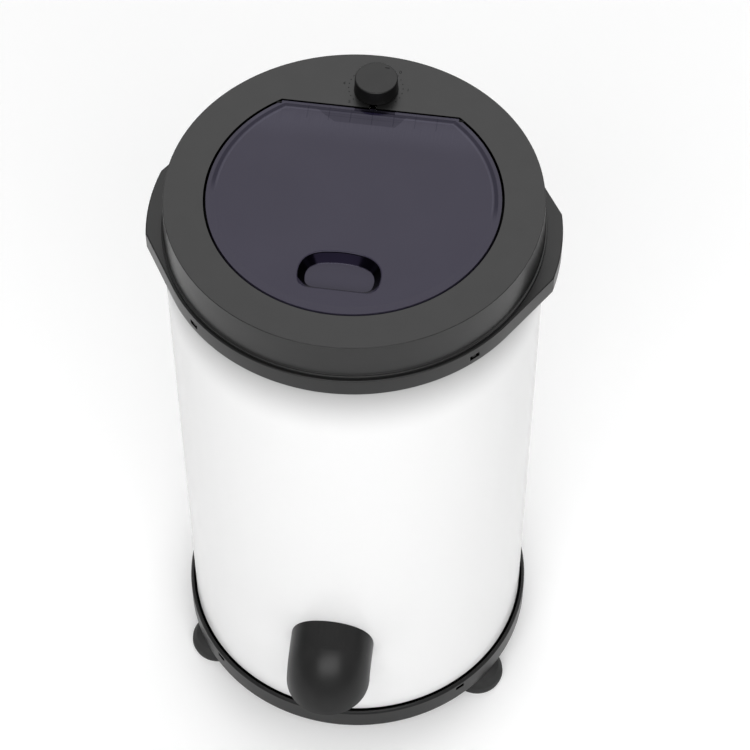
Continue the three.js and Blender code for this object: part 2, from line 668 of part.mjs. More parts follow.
function drumNut() {
  const seat = DRUM_FLOOR + DRUM_SHEET + GAP;
  const washer = bar(15, [0, 0, seat], [0, 0, seat + 2.6], HIDDEN);
  const cap = join(washer, bar(11, [0, 0, seat + 2.1], [0, 0, 230], 6));
  return cut(cap, bar(SHAFT_R + 0.1, [0, 0, 210], [0, 0, 227], HIDDEN));
}

function driveShaft() {
  return turned([[0, 47], [SHAFT_R, 47, 1], [SHAFT_R, 226.5, 1], [0, 226.5]], HIDDEN, 1);
}

// Motor: its case with the bearing tube, the wound ring inside, the rotor and the bearings

const MOTOR_R = 55;

function motorHousing() {
  return turned([
    [14.3, 74], [MOTOR_R, 74, 5], [MOTOR_R, 125.3], [68, 125.3], [68, 128.8], [MOTOR_R, 128.8], [MOTOR_R, 146],
    [30, 156], [18, 160], [18, 196], [14.3, 196], [14.3, 183], [10.5, 183], [10.5, 156], [28, 152.6],
    [52, 143.6], [52, 77], [18, 77], [18, 88], [14.3, 88],
  ], HIDDEN);
}

function motorStator() {
  return turned([[34, 84], [51.6, 84], [51.6, 138], [34, 138]], HIDDEN);
}

function motorRotor() {
  return turned([[SHAFT_R + 0.1, 90], [33, 90], [33, 132], [SHAFT_R + 0.1, 132]], HIDDEN);
}

function bearing() {
  return turned([[SHAFT_R + 0.3, -5.5], [14, -5.5], [14, 5.5], [SHAFT_R + 0.3, 5.5]], HIDDEN);
}

// Corrugated rubber from the bearing tube to the tub's neck
function shaftBellows() {
  return turnedSheet([
    [18.4, 190], [23, 190], [27, 182], [32, 190], [37, 182], [40, 184], [43.6, 184],
    [43.6, 191],
  ], 1.4, HIDDEN);
}

// Three-armed plate that hangs the motor from the rubber mounts
function motorCarrier() {
  const disc = turned([[0, CARRIER_Z], [84, CARRIER_Z], [84, CARRIER_Z + 3], [0, CARRIER_Z + 3]], INNER);
  const arms = THIRDS.map((angle) => {
    const corners = [[-26, -78], [-17, -MOUNT_RING_R - 14, 6], [17, -MOUNT_RING_R - 14, 6], [26, -78]];
    return prism(rounded(corners, 2), CARRIER_Z, CARRIER_Z + 3).rotate([0, 0, angle]);
  });
  const bore = bar(MOTOR_R + 0.6, [0, 0, 110], [0, 0, 140], HIDDEN);
  const holes = THIRDS.map((angle) => {
    return bar(3.4, around(MOUNT_RING_R, angle, 110), around(MOUNT_RING_R, angle, 140), SMALL);
  });
  return cut(join(disc, ...arms), bore, ...holes);
}

const BRACKET_TOP = 96;

// Angle welded to the casing: a leg down the wall and a shelf with the mount's stud
function suspensionBracket() {
  const outline = [
    [-122, BRACKET_TOP], [-176, BRACKET_TOP], [-176, 56], [-170.5, 56], [-170.5, BRACKET_TOP - 9],
    [-168, BRACKET_TOP - 6], [-122, BRACKET_TOP - 6],
  ].map(([y, z]) => new THREE.Vector2(y, z));
  const bent = prism(outline, -22, 22).rotate([90, 0, 90]);
  const round = turned([[0, 20], [BODY_R - SHEET - GAP, 20], [BODY_R - SHEET - GAP, 200], [0, 200]]);
  const stud = bar(3, [0, -MOUNT_RING_R, BRACKET_TOP - 2], [0, -MOUNT_RING_R, BRACKET_TOP + 8], TINY);
  return join(bent.intersect(round), stud);
}

// Waisted rubber mount with a stud that passes through the plate above it
function suspensionMount() {
  return turned([
    [0, 8.5], [3.4, 8.5], [3.4, GAP], [14, GAP], [11, 13], [14, 25.7], [3, 25.7], [3, 36], [0, 36],
  ], SMALL);
}

function addSuspension() {
  THIRDS.forEach((angle, i) => {
    add(`suspension_bracket_${i + 1}`, suspensionBracket(), zincSteel, [0, 0, 0], angle);
    const place = around(MOUNT_RING_R, angle, BRACKET_TOP);
    add(`suspension_mount_${i + 1}`, suspensionMount(), rubber, place, angle);
  });
}

// Motor's run capacitor, with the foot that holds it to the base ring's floor
function capacitor() {
  const can = bar(18, [0, 0, 31], [0, 0, 104], LID_ARC);
  const foot = box([-24, 24], [-12, 12], [29.3, 32]);
  const tabs = [-1, 1].map((side) => box([side * 6 - 3, side * 6 + 3], [-0.5, 0.5], [103, 112]));
  return join(can, foot, ...tabs);
}

// Brake: the lid's tongue tips the rocker, the rod lifts the arm, and its lining meets the disc

const DISC_Z = [50, 54];

function brakeDisc() {
  return turned([
    [SHAFT_R + 0.1, DISC_Z[0]], [46, DISC_Z[0]], [46, DISC_Z[1]], [16, DISC_Z[1]], [16, 60],
    [SHAFT_R + 0.1, 60],
  ], HIDDEN);
}

function brakeArm() {
  const [pivotY, pivotZ] = ARM_PIVOT;
  const outline = [[-6, 29, 3], [6, 29, 3], [6, 92, 3], [5, 172, 4], [-5, 172, 4], [-6, 92, 3]];
  const blade = prism(rounded(outline, 2), 60, 64);
  const boss = bar(5, [-5.4, pivotY, pivotZ], [5.4, pivotY, pivotZ], SMALL);
  const bore = bar(2.3, [-9, pivotY, pivotZ], [9, pivotY, pivotZ], SMALL);
  const rodHole = bar(3.2, [0, ROD_Y, 50], [0, ROD_Y, 70], SMALL);
  return cut(join(blade, boss), bore, rodHole);
}

function brakeShoe() {
  return prism(rounded([[-8, 28, 2], [8, 28, 2], [8, 44, 2], [-8, 44, 2]], 2), 55.3, 59.7);
}

function brakeBracket() {
  const [pivotY, pivotZ] = ARM_PIVOT;
  const top = CARRIER_Z - GAP;
  const outline = [
    [-8.6, pivotZ - 7], [-6.2, pivotZ - 7], [-6.2, top - 3], [6.2, top - 3], [6.2, pivotZ - 7], [8.6, pivotZ - 7],
    [8.6, top], [-8.6, top],
  ];
  const channel = prism(outline.map(([x, z]) => new THREE.Vector2(x, z)), -6, 6).rotate([90, 0, 0]);
  const pin = bar(2.3, [-12, pivotY, pivotZ], [12, pivotY, pivotZ], SMALL);
  return cut(channel.translate([0, pivotY, 0]), pin);
}

function pivotPin(halfLength) {
  return bar(2, [-halfLength, 0, 0], [halfLength, 0, 0], SMALL);
}

function brakeRod() {
  const rod = bar(2, [0, 0, 50], [0, 0, 643], TINY);
  const nut = bar(4, [0, 0, 55], [0, 0, 59.5], 6);
  const head = bar(3.4, [0, 0, 639.6], [0, 0, 642], TINY);
  return join(rod, nut, head);
}

function interlockRocker() {
  const [pivotY, pivotZ] = ROCKER_PIVOT;
  const side = [
    [104.8, 674.8], [109, 674.8], [109, 640, 2], [pivotY - 10, 639, 4], [ROD_Y, 639], [ROD_Y, 633],
    [104.8, 633, 2],
  ];
  const blade = prism(rounded(side, 2), KNOB_X - 2.2, KNOB_X + 2.2).rotate([90, 0, 90]);
  const eye = bar(4.2, [0, ROD_Y, 633], [0, ROD_Y, 639], SMALL);
  const boss = bar(5, [-4.4, pivotY, pivotZ], [4.4, pivotY, pivotZ], SMALL);
  const bore = bar(2.3, [-9, pivotY, pivotZ], [9, pivotY, pivotZ], SMALL);
  const rodHole = bar(3, [0, ROD_Y, 620], [0, ROD_Y, 650], SMALL);
  return cut(join(blade, eye, boss), bore, rodHole);
}

function rockerBracket() {
  const [pivotY, pivotZ] = ROCKER_PIVOT;
  const floor = TUB_RIM[1] + 2 * GAP + 3;
  const outline = [
    [-16, floor], [16, floor], [16, floor + 2], [7.4, floor + 2], [7.4, pivotZ + 5], [5.2, pivotZ + 5],
    [5.2, floor + 2], [-5.2, floor + 2], [-5.2, pivotZ + 5], [-7.4, pivotZ + 5], [-7.4, floor + 2],
    [-16, floor + 2],
  ];
  const channel = prism(outline.map(([x, z]) => new THREE.Vector2(x, z)), -5, 5).rotate([90, 0, 0]);
  const bore = bar(2.3, [-12, pivotY, pivotZ], [12, pivotY, pivotZ], SMALL);
  return cut(channel.translate([0, pivotY, 0]), bore);
}

// Switch beside the rocker that cuts the motor when the lid is lifted
function lidSwitch() {
  const can = box([6, 26], [101, 112], [644, 662]);
  const button = box([4.5, 6.5], [104, 107], [650, 653]);
  const tabs = [-1, 1].map((side) => box([16 + side * 5 - 2, 16 + side * 5 + 2], [106, 107], [638, 645]));
  return join(can, button, ...tabs);
}

function addCasing() {
  add('base_ring', baseRing(), greyPlastic);
  add('base_grille', baseGrille(), blackPlastic);
  addFeet();
  add('body_shell', bodyShell(), whitePaint);
  add('cord_grommet', cordGrommet(), rubber, [0, 0, INLET.z], INLET.angle);
  add('carry_flange', carryFlange(), greyPlastic);
  add('top_cover', topCover(), greyPlastic);
  addCasingScrews();
}

function addWaterParts() {
  add('outer_tub', outerTub(), palePlastic);
  add('tub_cover', tubCover(), palePlastic);
  add('mouth_seal', mouthSeal(), rubber);
  add('drain_spout', drainSpout(), greyPlastic);
  add('outlet_gasket', outletGasket(), rubber);
}

function addLidAndTimer() {
  add('lid_panel', lidPanel(), lidPlastic);
  addHingePins();
  add('timer_body', timerBody(), palePlastic, [KNOB_X, KNOB_Y, 0]);
  add('timer_nut', timerNut(), zincSteel, [KNOB_X, KNOB_Y, 0]);
  add('timer_spindle', timerSpindle(), steel, [KNOB_X, KNOB_Y, 0]);
  add('control_knob', controlKnob(), blackPlastic, [KNOB_X, KNOB_Y, 0]);
}

function addDrive() {
  add('spin_drum', spinDrum(), steel);
  add('drum_hub', drumHub(), castMetal);
  add('drum_nut', drumNut(), zincSteel);
  add('drive_shaft', driveShaft(), steel);
  add('motor_rotor', motorRotor(), castMetal);
  add('motor_stator', motorStator(), copper);
  add('motor_housing', motorHousing(), castMetal);
  add('upper_bearing', bearing(), steel, [0, 0, 189]);
  add('lower_bearing', bearing(), steel, [0, 0, 81.5]);
  add('shaft_bellows', shaftBellows(), rubber);
  add('motor_carrier', motorCarrier(), zincSteel);
  addSuspension();
  add('capacitor', capacitor(), palePlastic, around(142, 30), 30);
}

function addBrake() {
  add('brake_disc', brakeDisc(), steel);
  add('brake_arm', brakeArm(), zincSteel);
  add('brake_shoe', brakeShoe(), lining);
  add('brake_bracket', brakeBracket(), zincSteel);
  add('brake_pin', pivotPin(8.8), steel, [0, ...ARM_PIVOT]);
  add('brake_rod', brakeRod(), steel, [0, ROD_Y, 0]);
  add('interlock_rocker', interlockRocker(), palePlastic);
  add('rocker_bracket', rockerBracket(), zincSteel);
  add('rocker_pin', pivotPin(7.6), steel, [0, ...ROCKER_PIVOT]);
  add('lid_switch', lidSwitch(), blackPlastic);
}

addCasing();
addWaterParts();
addLidAndTimer();
addDrive();
addBrake();

export default group;
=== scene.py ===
# A free-standing laundry spin dryer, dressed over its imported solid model.
# Sizes below are in millimetres round the drum's axis, which stands a little behind the object's middle.

import math

import bpy
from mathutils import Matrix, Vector


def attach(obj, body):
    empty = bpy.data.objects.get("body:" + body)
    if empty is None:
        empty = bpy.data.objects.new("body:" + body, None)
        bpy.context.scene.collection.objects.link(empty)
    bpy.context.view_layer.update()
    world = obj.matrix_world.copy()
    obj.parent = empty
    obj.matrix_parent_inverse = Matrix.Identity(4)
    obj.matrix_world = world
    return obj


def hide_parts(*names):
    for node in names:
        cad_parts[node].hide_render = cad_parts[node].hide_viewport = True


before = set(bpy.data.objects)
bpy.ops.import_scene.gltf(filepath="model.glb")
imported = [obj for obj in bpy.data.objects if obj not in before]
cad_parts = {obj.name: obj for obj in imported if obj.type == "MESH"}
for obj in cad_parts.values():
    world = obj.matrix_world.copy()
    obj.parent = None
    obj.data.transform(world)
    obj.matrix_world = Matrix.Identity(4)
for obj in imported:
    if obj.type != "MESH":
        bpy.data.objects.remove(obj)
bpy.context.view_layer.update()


# Camera and studio
# The photograph was taken with a long lens from high in front, on a white sweep with soft light all round.

LENS = 127.26
SENSOR_WIDTH = 36
CAMERA_AT = (0.2359, -1.4957, 2.5124)
CAMERA_TURN = (36.23, 0, 8.10)
VIEW_END = 100
FLOOR_SIZE = 24
FLOOR_GREY = 251
FLOOR_GLOW = 2.6
GLOW_SHARE = 0.05  # part of the floor's picture that is glow
SKY_TOP = 0.8  # slope above which the sky is at its brightest
SKY_LIGHT = (0.1, 0.44)  # from the horizon and from above
FRONT_LIGHT = 0.2  # more light from in front

bpy.ops.object.camera_add(location=CAMERA_AT, rotation=[math.radians(turn) for turn in CAMERA_TURN])
camera = bpy.context.object
camera.name = "photo_camera"
camera.data.lens = LENS
camera.data.sensor_width = SENSOR_WIDTH
camera.data.clip_end = VIEW_END
bpy.context.scene.camera = camera
bpy.context.scene.view_settings.view_transform = "Standard"


class Wire:
    """One output of a material's nodes, so that maths on it reads as maths"""

    def __init__(self, tree, socket=None):
        self.tree = tree
        self.socket = socket

    def node(self, kind, settings=(), inputs=(), output=0):
        node = self.tree.nodes.new("ShaderNode" + kind)
        for key, value in dict(settings).items():
            setattr(node, key, value)
        for key, value in dict(inputs).items():
            if isinstance(value, Wire):
                self.tree.links.new(value.socket, node.inputs[key])
            else:
                node.inputs[key].default_value = value
        return Wire(self.tree, None if output is None else node.outputs[output])

    def maths(self, operation, *values):
        return self.node("Math", {"operation": operation}, enumerate(values))

    def __add__(self, other):
        return self.maths("ADD", self, other)

    def __sub__(self, other):
        return self.maths("SUBTRACT", self, other)

    def __rsub__(self, other):
        return self.maths("SUBTRACT", other, self)

    def __mul__(self, other):
        return self.maths("MULTIPLY", self, other)

    def __lt__(self, other):
        return self.maths("LESS_THAN", self, other)

    def __gt__(self, other):
        return self.maths("GREATER_THAN", self, other)

    def __abs__(self):
        return self.maths("ABSOLUTE", self)

    __radd__ = __add__

    def blend(self, first, second):
        """First colour where this wire is 0, second where it is 1"""
        return self.node("Mix", {"data_type": "RGBA"}, {0: self, 6: first, 7: second}, output=2)


def grey(value):
    """Colour of a plain grey given as it looks on screen, 0 to 255"""
    return tint(value, value, value)


def tint(red, green, blue):
    """Colour given as it looks on screen, 0 to 255, as the linear one that nodes take"""

    def linear(value):
        value = value / 255
        return value / 12.92 if value <= 0.04045 else ((value + 0.055) / 1.055) ** 2.4

    return (linear(red), linear(green), linear(blue), 1)


def new_material(name):
    material = bpy.data.materials.new(name)
    material.use_nodes = True
    material.node_tree.nodes.clear()
    return material, Wire(material.node_tree)


floor_material, wire = new_material("studio_floor")
light_path = wire.node("LightPath").socket.node
camera_ray, through_ray = [
    Wire(wire.tree, light_path.outputs[name]) for name in ("Is Camera Ray", "Is Transmission Ray")
]
paper = wire.node("BsdfDiffuse", inputs={"Color": grey(FLOOR_GREY)})
glow = wire.node("Emission", inputs={"Color": (1, 1, 1, 1), "Strength": FLOOR_GLOW})
shown = (camera_ray + through_ray) * GLOW_SHARE
glowing_paper = wire.node("MixShader", inputs={0: shown, 1: paper, 2: glow})
wire.node("OutputMaterial", inputs={"Surface": glowing_paper}, output=None)

bpy.ops.object.select_all(action="DESELECT")
bpy.ops.mesh.primitive_plane_add(size=FLOOR_SIZE)
floor = bpy.context.object
floor.name = "studio_floor"
floor.data.materials.append(floor_material)

world = bpy.data.worlds.new("studio")
bpy.context.scene.world = world
world.use_nodes = True
wire = Wire(world.node_tree)
sky = wire.node("SeparateXYZ", inputs={0: wire.node("TexCoord", output=0)}).socket.node
upward = Wire(wire.tree, sky.outputs[2])
forward = Wire(wire.tree, sky.outputs[1]) * -1
from_sky = upward.node("MapRange", inputs={0: upward, 1: 0.0, 2: SKY_TOP, 3: SKY_LIGHT[0], 4: SKY_LIGHT[1]})
from_front = forward.node("MapRange", {"interpolation_type": "SMOOTHSTEP"}, {0: forward, 1: -0.1, 2: 1.0})
brightness = from_sky + from_front * FRONT_LIGHT
background = world.node_tree.nodes["Background"]
background.inputs["Color"].default_value = (1, 1, 1, 1)
world.node_tree.links.new(brightness.socket, background.inputs["Strength"])


def softbox(name, place, aim, size, power):
    """Rectangular lamp that faces a point, its size in metres and its power in watts"""
    way = Vector(aim) - Vector(place)
    bpy.ops.object.light_add(type="AREA", location=place, rotation=way.to_track_quat("-Z", "Y").to_euler())
    lamp = bpy.context.object
    lamp.name = name
    lamp.data.shape = "RECTANGLE"
    lamp.data.size, lamp.data.size_y = size
    lamp.data.energy = power


softbox("front_high", (0.3, -2.3, 2.8), (0, 0, 0.35), (3.4, 1.8), 73)
softbox("rear_high", (0.1, 2.2, 3.4), (0, 0, 0.68), (3.8, 3.0), 56)
softbox("left_side", (-2.6, -0.6, 1.5), (0, 0, 0.45), (1.0, 2.2), 2.5)
softbox("right_side", (2.6, -0.4, 1.4), (0, 0, 0.45), (1.0, 2.2), 2.5)


# Casing
# One sheet of painted steel rolled into a tube, pierced for the spout, the cord and eight screws.
# Its lower edge stands in the base ring's groove and its upper edge behind the carrying flange.

DRUM_Y = 28
GAP = 0.3  # clearance between pieces that touch
BODY_R = 175.8
BODY_Z = (36.4, 636)
SHEET = 0.7
SHOWN_Z = (55, 623)  # part of the casing between the base ring and the flange; below and above it the casing is painted black as shade
SHADE_UNDER_FLANGE_Z = (552, 640)  # heights over which painted shade darkens the enamel under the flange
INNER_LIP_R = BODY_R - SHEET - 2 * GAP
SPOUT_Z = 184.5
SPOUT_DOWN = math.radians(20)
OUTLET_R = 35
SCREW_ANGLES = (45, 135, 225, 315)
SCREW_HEIGHTS = (47, 631)
SCREW_HOLE_R = 1.8
INLET = (152, 88, 8)  # angle from the front, height and radius
SMOOTH_ANGLE = math.radians(35)  # edges flatter than this are shaded smooth
BUMP_DEPTH = 0.0002  # metres


def at(x, y, z):
    """Millimetres round the drum's axis as metres in the shared frame"""
    return Vector((x, y + DRUM_Y, z)) / 1000


def around(radius, angle, z=0):
    """Point at an angle from the front, positive towards the right"""
    turn = math.radians(angle)
    return at(radius * math.sin(turn), -radius * math.cos(turn), z)


def along_spout(distance):
    """Point on the spout's axis, a distance out from the casing"""
    return at(0, -BODY_R - distance * math.cos(SPOUT_DOWN), SPOUT_Z - distance * math.sin(SPOUT_DOWN))


def eased(corners, steps=5):
    """Line of points through (a, b, radius) corners, each turned through a short curve"""
    line = []
    for i, (*corner, radius) in enumerate([(*c, 0) if len(c) == 2 else c for c in corners]):
        corner = Vector(corner)
        if not radius:
            line.append(corner)
            continue
        before = Vector(corners[i - 1][:2]) - corner
        after = Vector(corners[(i + 1) % len(corners)][:2]) - corner
        reach = radius / math.tan(before.angle(after) / 2)
        start = corner + before.normalized() * reach
        end = corner + after.normalized() * reach
        for k in range(steps + 1):
            t = k / steps
            line.append(start * (1 - t) ** 2 + corner * 2 * t * (1 - t) + end * t * t)
    return line


def drawn(name, points):
    """New piece left in edit mode: a closed line drawn from point to point"""
    bpy.ops.object.select_all(action="DESELECT")
    bpy.ops.mesh.primitive_plane_add(size=0.001)
    piece = bpy.context.object
    piece.name = piece.data.name = name
    bpy.ops.object.mode_set(mode="EDIT")
    bpy.ops.mesh.merge(type="CENTER")
    bpy.ops.transform.translate(value=points[0])
    for here, there in zip(points, points[1:] + points[:1]):
        bpy.ops.mesh.extrude_region_move(TRANSFORM_OT_translate={"value": there - here})
    bpy.ops.mesh.select_all(action="SELECT")
    bpy.ops.mesh.remove_doubles(threshold=1e-6)


def cleaned():
    """Merges and faces outwards what is in edit mode, and leaves it"""
    bpy.ops.mesh.select_all(action="SELECT")
    bpy.ops.mesh.remove_doubles(threshold=2e-6)
    bpy.ops.mesh.normals_make_consistent(inside=False)
    bpy.ops.object.mode_set(mode="OBJECT")
    return bpy.context.object


def turned(name, corners, steps=192, middle=(0, 0)):
    """Profile of (radius, z, rounding) corners spun round an upright axis"""
    x, y = middle
    drawn(name, [at(x + r, y, z) for r, z in eased(corners)])
    bpy.ops.mesh.spin(steps=steps, angle=2 * math.pi, center=at(x, y, 0), axis=(0, 0, 1))
    return cleaned()


def prism(name, outline, low, high):
    """Outline of (x, y) points pulled up from one height to another"""
    drawn(name, [at(x, y, low) for x, y in outline])
    bpy.ops.mesh.edge_face_add()
    bpy.ops.mesh.extrude_region_move(TRANSFORM_OT_translate={"value": (0, 0, (high - low) / 1000)})
    return cleaned()


def rod(name, radius, start, end, sides=64):
    """Round bar between two points of the frame, its radius in millimetres"""
    way = end - start
    turn = way.to_track_quat("Z", "Y").to_euler()
    bpy.ops.object.select_all(action="DESELECT")
    bpy.ops.mesh.primitive_cylinder_add(vertices=sides, radius=radius / 1000, depth=way.length,
                                        location=(start + end) / 2, rotation=turn)
    piece = bpy.context.object
    piece.name = piece.data.name = name
    bpy.ops.object.transform_apply(location=True, rotation=True, scale=True)
    return piece


def brick(name, x, y, z, turn=0):
    """Block between pairs of limits, turned round the drum's axis"""
    corners = [(x[0], y[0]), (x[1], y[0]), (x[1], y[1]), (x[0], y[1])]
    piece = prism(name, corners, *z)
    if turn:
        piece.rotation_euler.z = math.radians(turn)
        pivot = at(0, 0, 0)
        piece.location = pivot - pivot.copy() @ piece.rotation_euler.to_matrix().transposed()
        bpy.ops.object.transform_apply(location=True, rotation=True, scale=True)
    return piece


def worked(piece, kind, tools=(), **settings):
    """Modifiers of one kind put on a piece and applied, one for each tool or one alone"""
    bpy.ops.object.select_all(action="DESELECT")
    bpy.context.view_layer.objects.active = piece
    piece.select_set(True)
    for tool in tools or (None,):
        change = piece.modifiers.new(kind.lower(), kind)
        for key, value in settings.items():
            setattr(change, key, value)
        if tool:
            change.object = tool
        bpy.ops.object.modifier_apply(modifier=change.name)
    for tool in tools:
        bpy.data.objects.remove(tool)
    return piece


def cut(piece, *tools):
    """Piece less its tools, which are used up"""
    return worked(piece, "BOOLEAN", tools, operation="DIFFERENCE", solver="MANIFOLD")


def joined(piece, *tools):
    """Piece and its tools as one solid"""
    return worked(piece, "BOOLEAN", tools, operation="UNION", solver="MANIFOLD")


def softened(piece, width, segments=2, angle=40):
    """Every sharp edge broken to a small round"""
    return worked(piece, "BEVEL", width=width / 1000, segments=segments, limit_method="ANGLE",
                  angle_limit=math.radians(angle), miter_outer="MITER_ARC")


def placed(piece, body, material, nodes=(), weighted=True):
    """Finish on a piece, and what it rides on and stands for"""
    bpy.ops.object.select_all(action="DESELECT")
    bpy.context.view_layer.objects.active = piece
    piece.select_set(True)
    bpy.ops.object.shade_smooth_by_angle(angle=SMOOTH_ANGLE)
    if weighted:
        worked(piece, "WEIGHTED_NORMAL", keep_sharp=True)
    piece.data.materials.clear()
    piece.data.materials.append(material)
    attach(piece, body)
    if nodes:
        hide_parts(*nodes)


def surface(name, color, roughness, bump, metallic=0.0, *, strength, **uniform):
    """Principled finish: colour, roughness, bump and metallic may vary, all else is the same all over"""
    material, wire = new_material(name)
    place = wire.node("TexCoord", output=3)
    color, roughness, bump, metallic = [
        thing(place) if callable(thing) else thing for thing in (color, roughness, bump, metallic)
    ]
    relief = wire.node("Bump", inputs={"Strength": strength, "Distance": BUMP_DEPTH, "Height": bump})
    inputs = {"Base Color": color, "Roughness": roughness, "Metallic": metallic, "Normal": relief}
    inputs.update({key.replace("_", " "): value for key, value in uniform.items()})
    shader = wire.node("BsdfPrincipled", inputs=inputs)
    wire.node("OutputMaterial", inputs={"Surface": shader}, output=None)
    return material


def noise(place, scale, detail=3):
    return place.node("TexNoise", inputs={"Vector": place, "Scale": scale, "Detail": detail})


def ramp(wire, *stops):
    """Colour that follows a value through (value, colour) stops"""
    run = wire.node("ValToRGB", inputs={"Fac": wire})
    for element, (position, color) in zip(run.socket.node.color_ramp.elements, stops):
        element.position = position
        element.color = color
    return run


def mottled(first, second, scale):
    """Colour that drifts softly between two"""
    return lambda place: ramp(noise(place, scale), (0.3, first), (0.7, second))


def drifting(low, high, scale):
    """Roughness that drifts softly between two values"""
    return lambda place: noise(place, scale) * (high - low) + low


def axes(place):
    """Object coordinates as millimetres round the drum's axis"""
    apart = place.node("SeparateXYZ", inputs={0: place}).socket.node
    x, y, z = [Wire(place.tree, output) * 1000 for output in apart.outputs]
    return x, y - DRUM_Y, z


def rising(value, low, high):
    """0 up to the first limit and 1 from the second on"""
    return value.node("MapRange", {"interpolation_type": "SMOOTHSTEP"},
                      {"Value": value, "From Min": low, "From Max": high})


def within(value, low, high, edge=0.5):
    """1 between two values and 0 outside, over a soft edge"""
    return rising(value, low - edge, low + edge) * (1 - rising(value, high - edge, high + edge))


def casing_color(place):
    """White enamel with painted shade: darker just under the flange, and black where the groove and the
    flange hide it
    """
    height = axes(place)[2]
    enamel_and_shade = rising(height, *SHADE_UNDER_FLANGE_Z).blend(noise(place, 5).blend(grey(244), grey(245)), grey(158))
    low, high = SHOWN_Z
    # painted shade: black where the groove and the flange keep the light off the casing
    shaded_ends = rising(height, low + 0.4, low - 0.4) + rising(height, high - 0.5, high + 0.5)
    return shaded_ends.blend(enamel_and_shade, grey(5))


white_paint = surface("white_paint", casing_color, drifting(0.2, 0.26, 9), lambda place: noise(place, 260, 2),
                      strength=0.05, Coat_Weight=0.12, Coat_Roughness=0.12, Specular_IOR_Level=0.36)

rows = [BODY_Z[0], 53, *range(132, 240, 9), 621, BODY_Z[1]]  # closer together round the spout's opening
outside = [(BODY_R, z) for z in rows]
inside = [(BODY_R - SHEET, z) for z in reversed(rows)]
casing = turned("casing_tube", outside + inside, 384)
holes = [rod("hole", SCREW_HOLE_R, around(160, angle, z), around(190, angle, z), 16)
         for angle in SCREW_ANGLES for z in SCREW_HEIGHTS]
outlet = rod("hole", OUTLET_R, along_spout(-40), along_spout(30))
inlet = rod("hole", INLET[2], around(150, *INLET[:2]), around(200, *INLET[:2]), 32)
cut(casing, outlet, inlet, *holes)
placed(casing, "cabinet", white_paint, ["body_shell"], weighted=False)


# Base ring
# Moulded in grey plastic. A groove round its top takes the casing.
# Slots round it show where screws hold the two together; inside them and in the groove the moulding is
# painted black as shade.

RING_R = 181.8
RING_TOP = 54.5
RING_INNER_R = 112.3
RING_FLOOR = (25, 29)  # its underside and its top
GROOVE_R = 178.5
GROOVE_Z = (36, 50)  # floor of the groove and top of the lip inside the casing
RING_LIP_R = 170.5
SLOT = (10.5, 5.4)  # width and height of a screw slot
SLOT_OUTER_R = 190
THREAD_OUTER_R = 179
SLOTS_SHADED = ((178, 600, 640), (181.2, 35, 51.5))  # radius and two heights, of the flange and of this ring, inside which the moulding is painted black as shade
FOOT_RING_R = 164
FOOT_ANGLES = (60, 180, 300)


def grain(place):
    """Fine moulded relief"""
    return noise(place, 1400, 2) + noise(place, 300, 2) * 0.5


def length(*sides):
    """Distance from its components"""
    total = sum(side * side for side in sides)
    return total.maths("SQRT", total)


def slot_shade(place):
    """1 on the walls of the screw slots and the groove, which no light gets down to"""
    x, y, z = axes(place)
    radius = length(x, y)
    of_flange, of_ring = [(radius < outer) * within(z, low, high, 0.2) for outer, low, high in SLOTS_SHADED]
    return of_flange + of_ring


def moulding_color(place):
    """Dark grey, painted black as shade in the screw slots, the groove and inside the flange"""
    return slot_shade(place).blend(mottled(grey(22), grey(25), 40)(place), grey(6))


# the same painted-shade mask also makes the slots metallic, which darkens them further
grey_plastic = surface("grey_plastic", moulding_color, drifting(0.3, 0.36, 60), grain, slot_shade,
                       strength=0.08, Specular_IOR_Level=0.33)


def screw_tools(z, slot_inner, thread_inner):
    """Cutters for the four screw slots at one height and for the threads behind them"""
    width, height = SLOT
    limits = (-width / 2, width / 2), (-SLOT_OUTER_R, -slot_inner), (z - height / 2, z + height / 2)
    slots = [brick("slot", *limits, angle) for angle in SCREW_ANGLES]
    threads = [rod("hole", SCREW_HOLE_R, around(thread_inner, angle, z), around(THREAD_OUTER_R, angle, z), 16)
               for angle in SCREW_ANGLES]
    return slots + threads


def foot_bars(name, radius, low, high, sides):
    """Upright bar over each foot"""
    return [rod(name, radius, around(FOOT_RING_R, angle, low), around(FOOT_RING_R, angle, high), sides)
            for angle in FOOT_ANGLES]


ring = turned("base_moulding", [
    (RING_INNER_R, RING_FLOOR[0]), (179.6, RING_FLOOR[0], 0.8), (RING_R, 29, 4), (RING_R, 52.3, 2),
    (180, RING_TOP, 1.6), (GROOVE_R, RING_TOP, 0.5), (GROOVE_R, GROOVE_Z[0]), (INNER_LIP_R, GROOVE_Z[0]),
    (INNER_LIP_R, GROOVE_Z[1]), (RING_LIP_R, GROOVE_Z[1]), (RING_LIP_R, RING_FLOOR[1]),
    (RING_INNER_R, RING_FLOOR[1]),
])
joined(ring, *foot_bars("boss", 7, 28, 44, 32))
cut(ring, *foot_bars("hole", 3.3, 20, 38.6, 24), *screw_tools(SCREW_HEIGHTS[0], 177, 165))
placed(ring, "cabinet", grey_plastic, ["base_ring"])


# Feet
# Three black rubber domes, each held up into the base ring by one screw.

FOOT_R = 28
FOOT_TOP = 24.7
FOOT_BORE_R = 4

rubber = surface("dark_rubber", mottled(grey(34), grey(40), 50), drifting(0.62, 0.8, 80),
                 lambda place: noise(place, 900, 4), strength=0.25)

for i, angle in enumerate(FOOT_ANGLES):
    middle = around(FOOT_RING_R, angle) * 1000 - Vector((0, DRUM_Y, 0))
    foot = turned(f"foot_dome_{i + 1}", [
        (FOOT_BORE_R, 7), (FOOT_BORE_R, FOOT_TOP), (14, FOOT_TOP, 0.8), (23, 19.5, 5), (27.4, 12, 5),
        (FOOT_R, 6, 3), (26.5, 0, 1.5), (20, 0, 0.6), (19, 1.4), (11, 1.4), (10, 0, 0.5), (10, 7),
    ], 72, middle[:2])
    placed(foot, "cabinet", rubber, [f"foot_{i + 1}"])


# Carrying flange
# The grey ring under the cover, with an ear at each side to lift the machine by, hollow underneath.

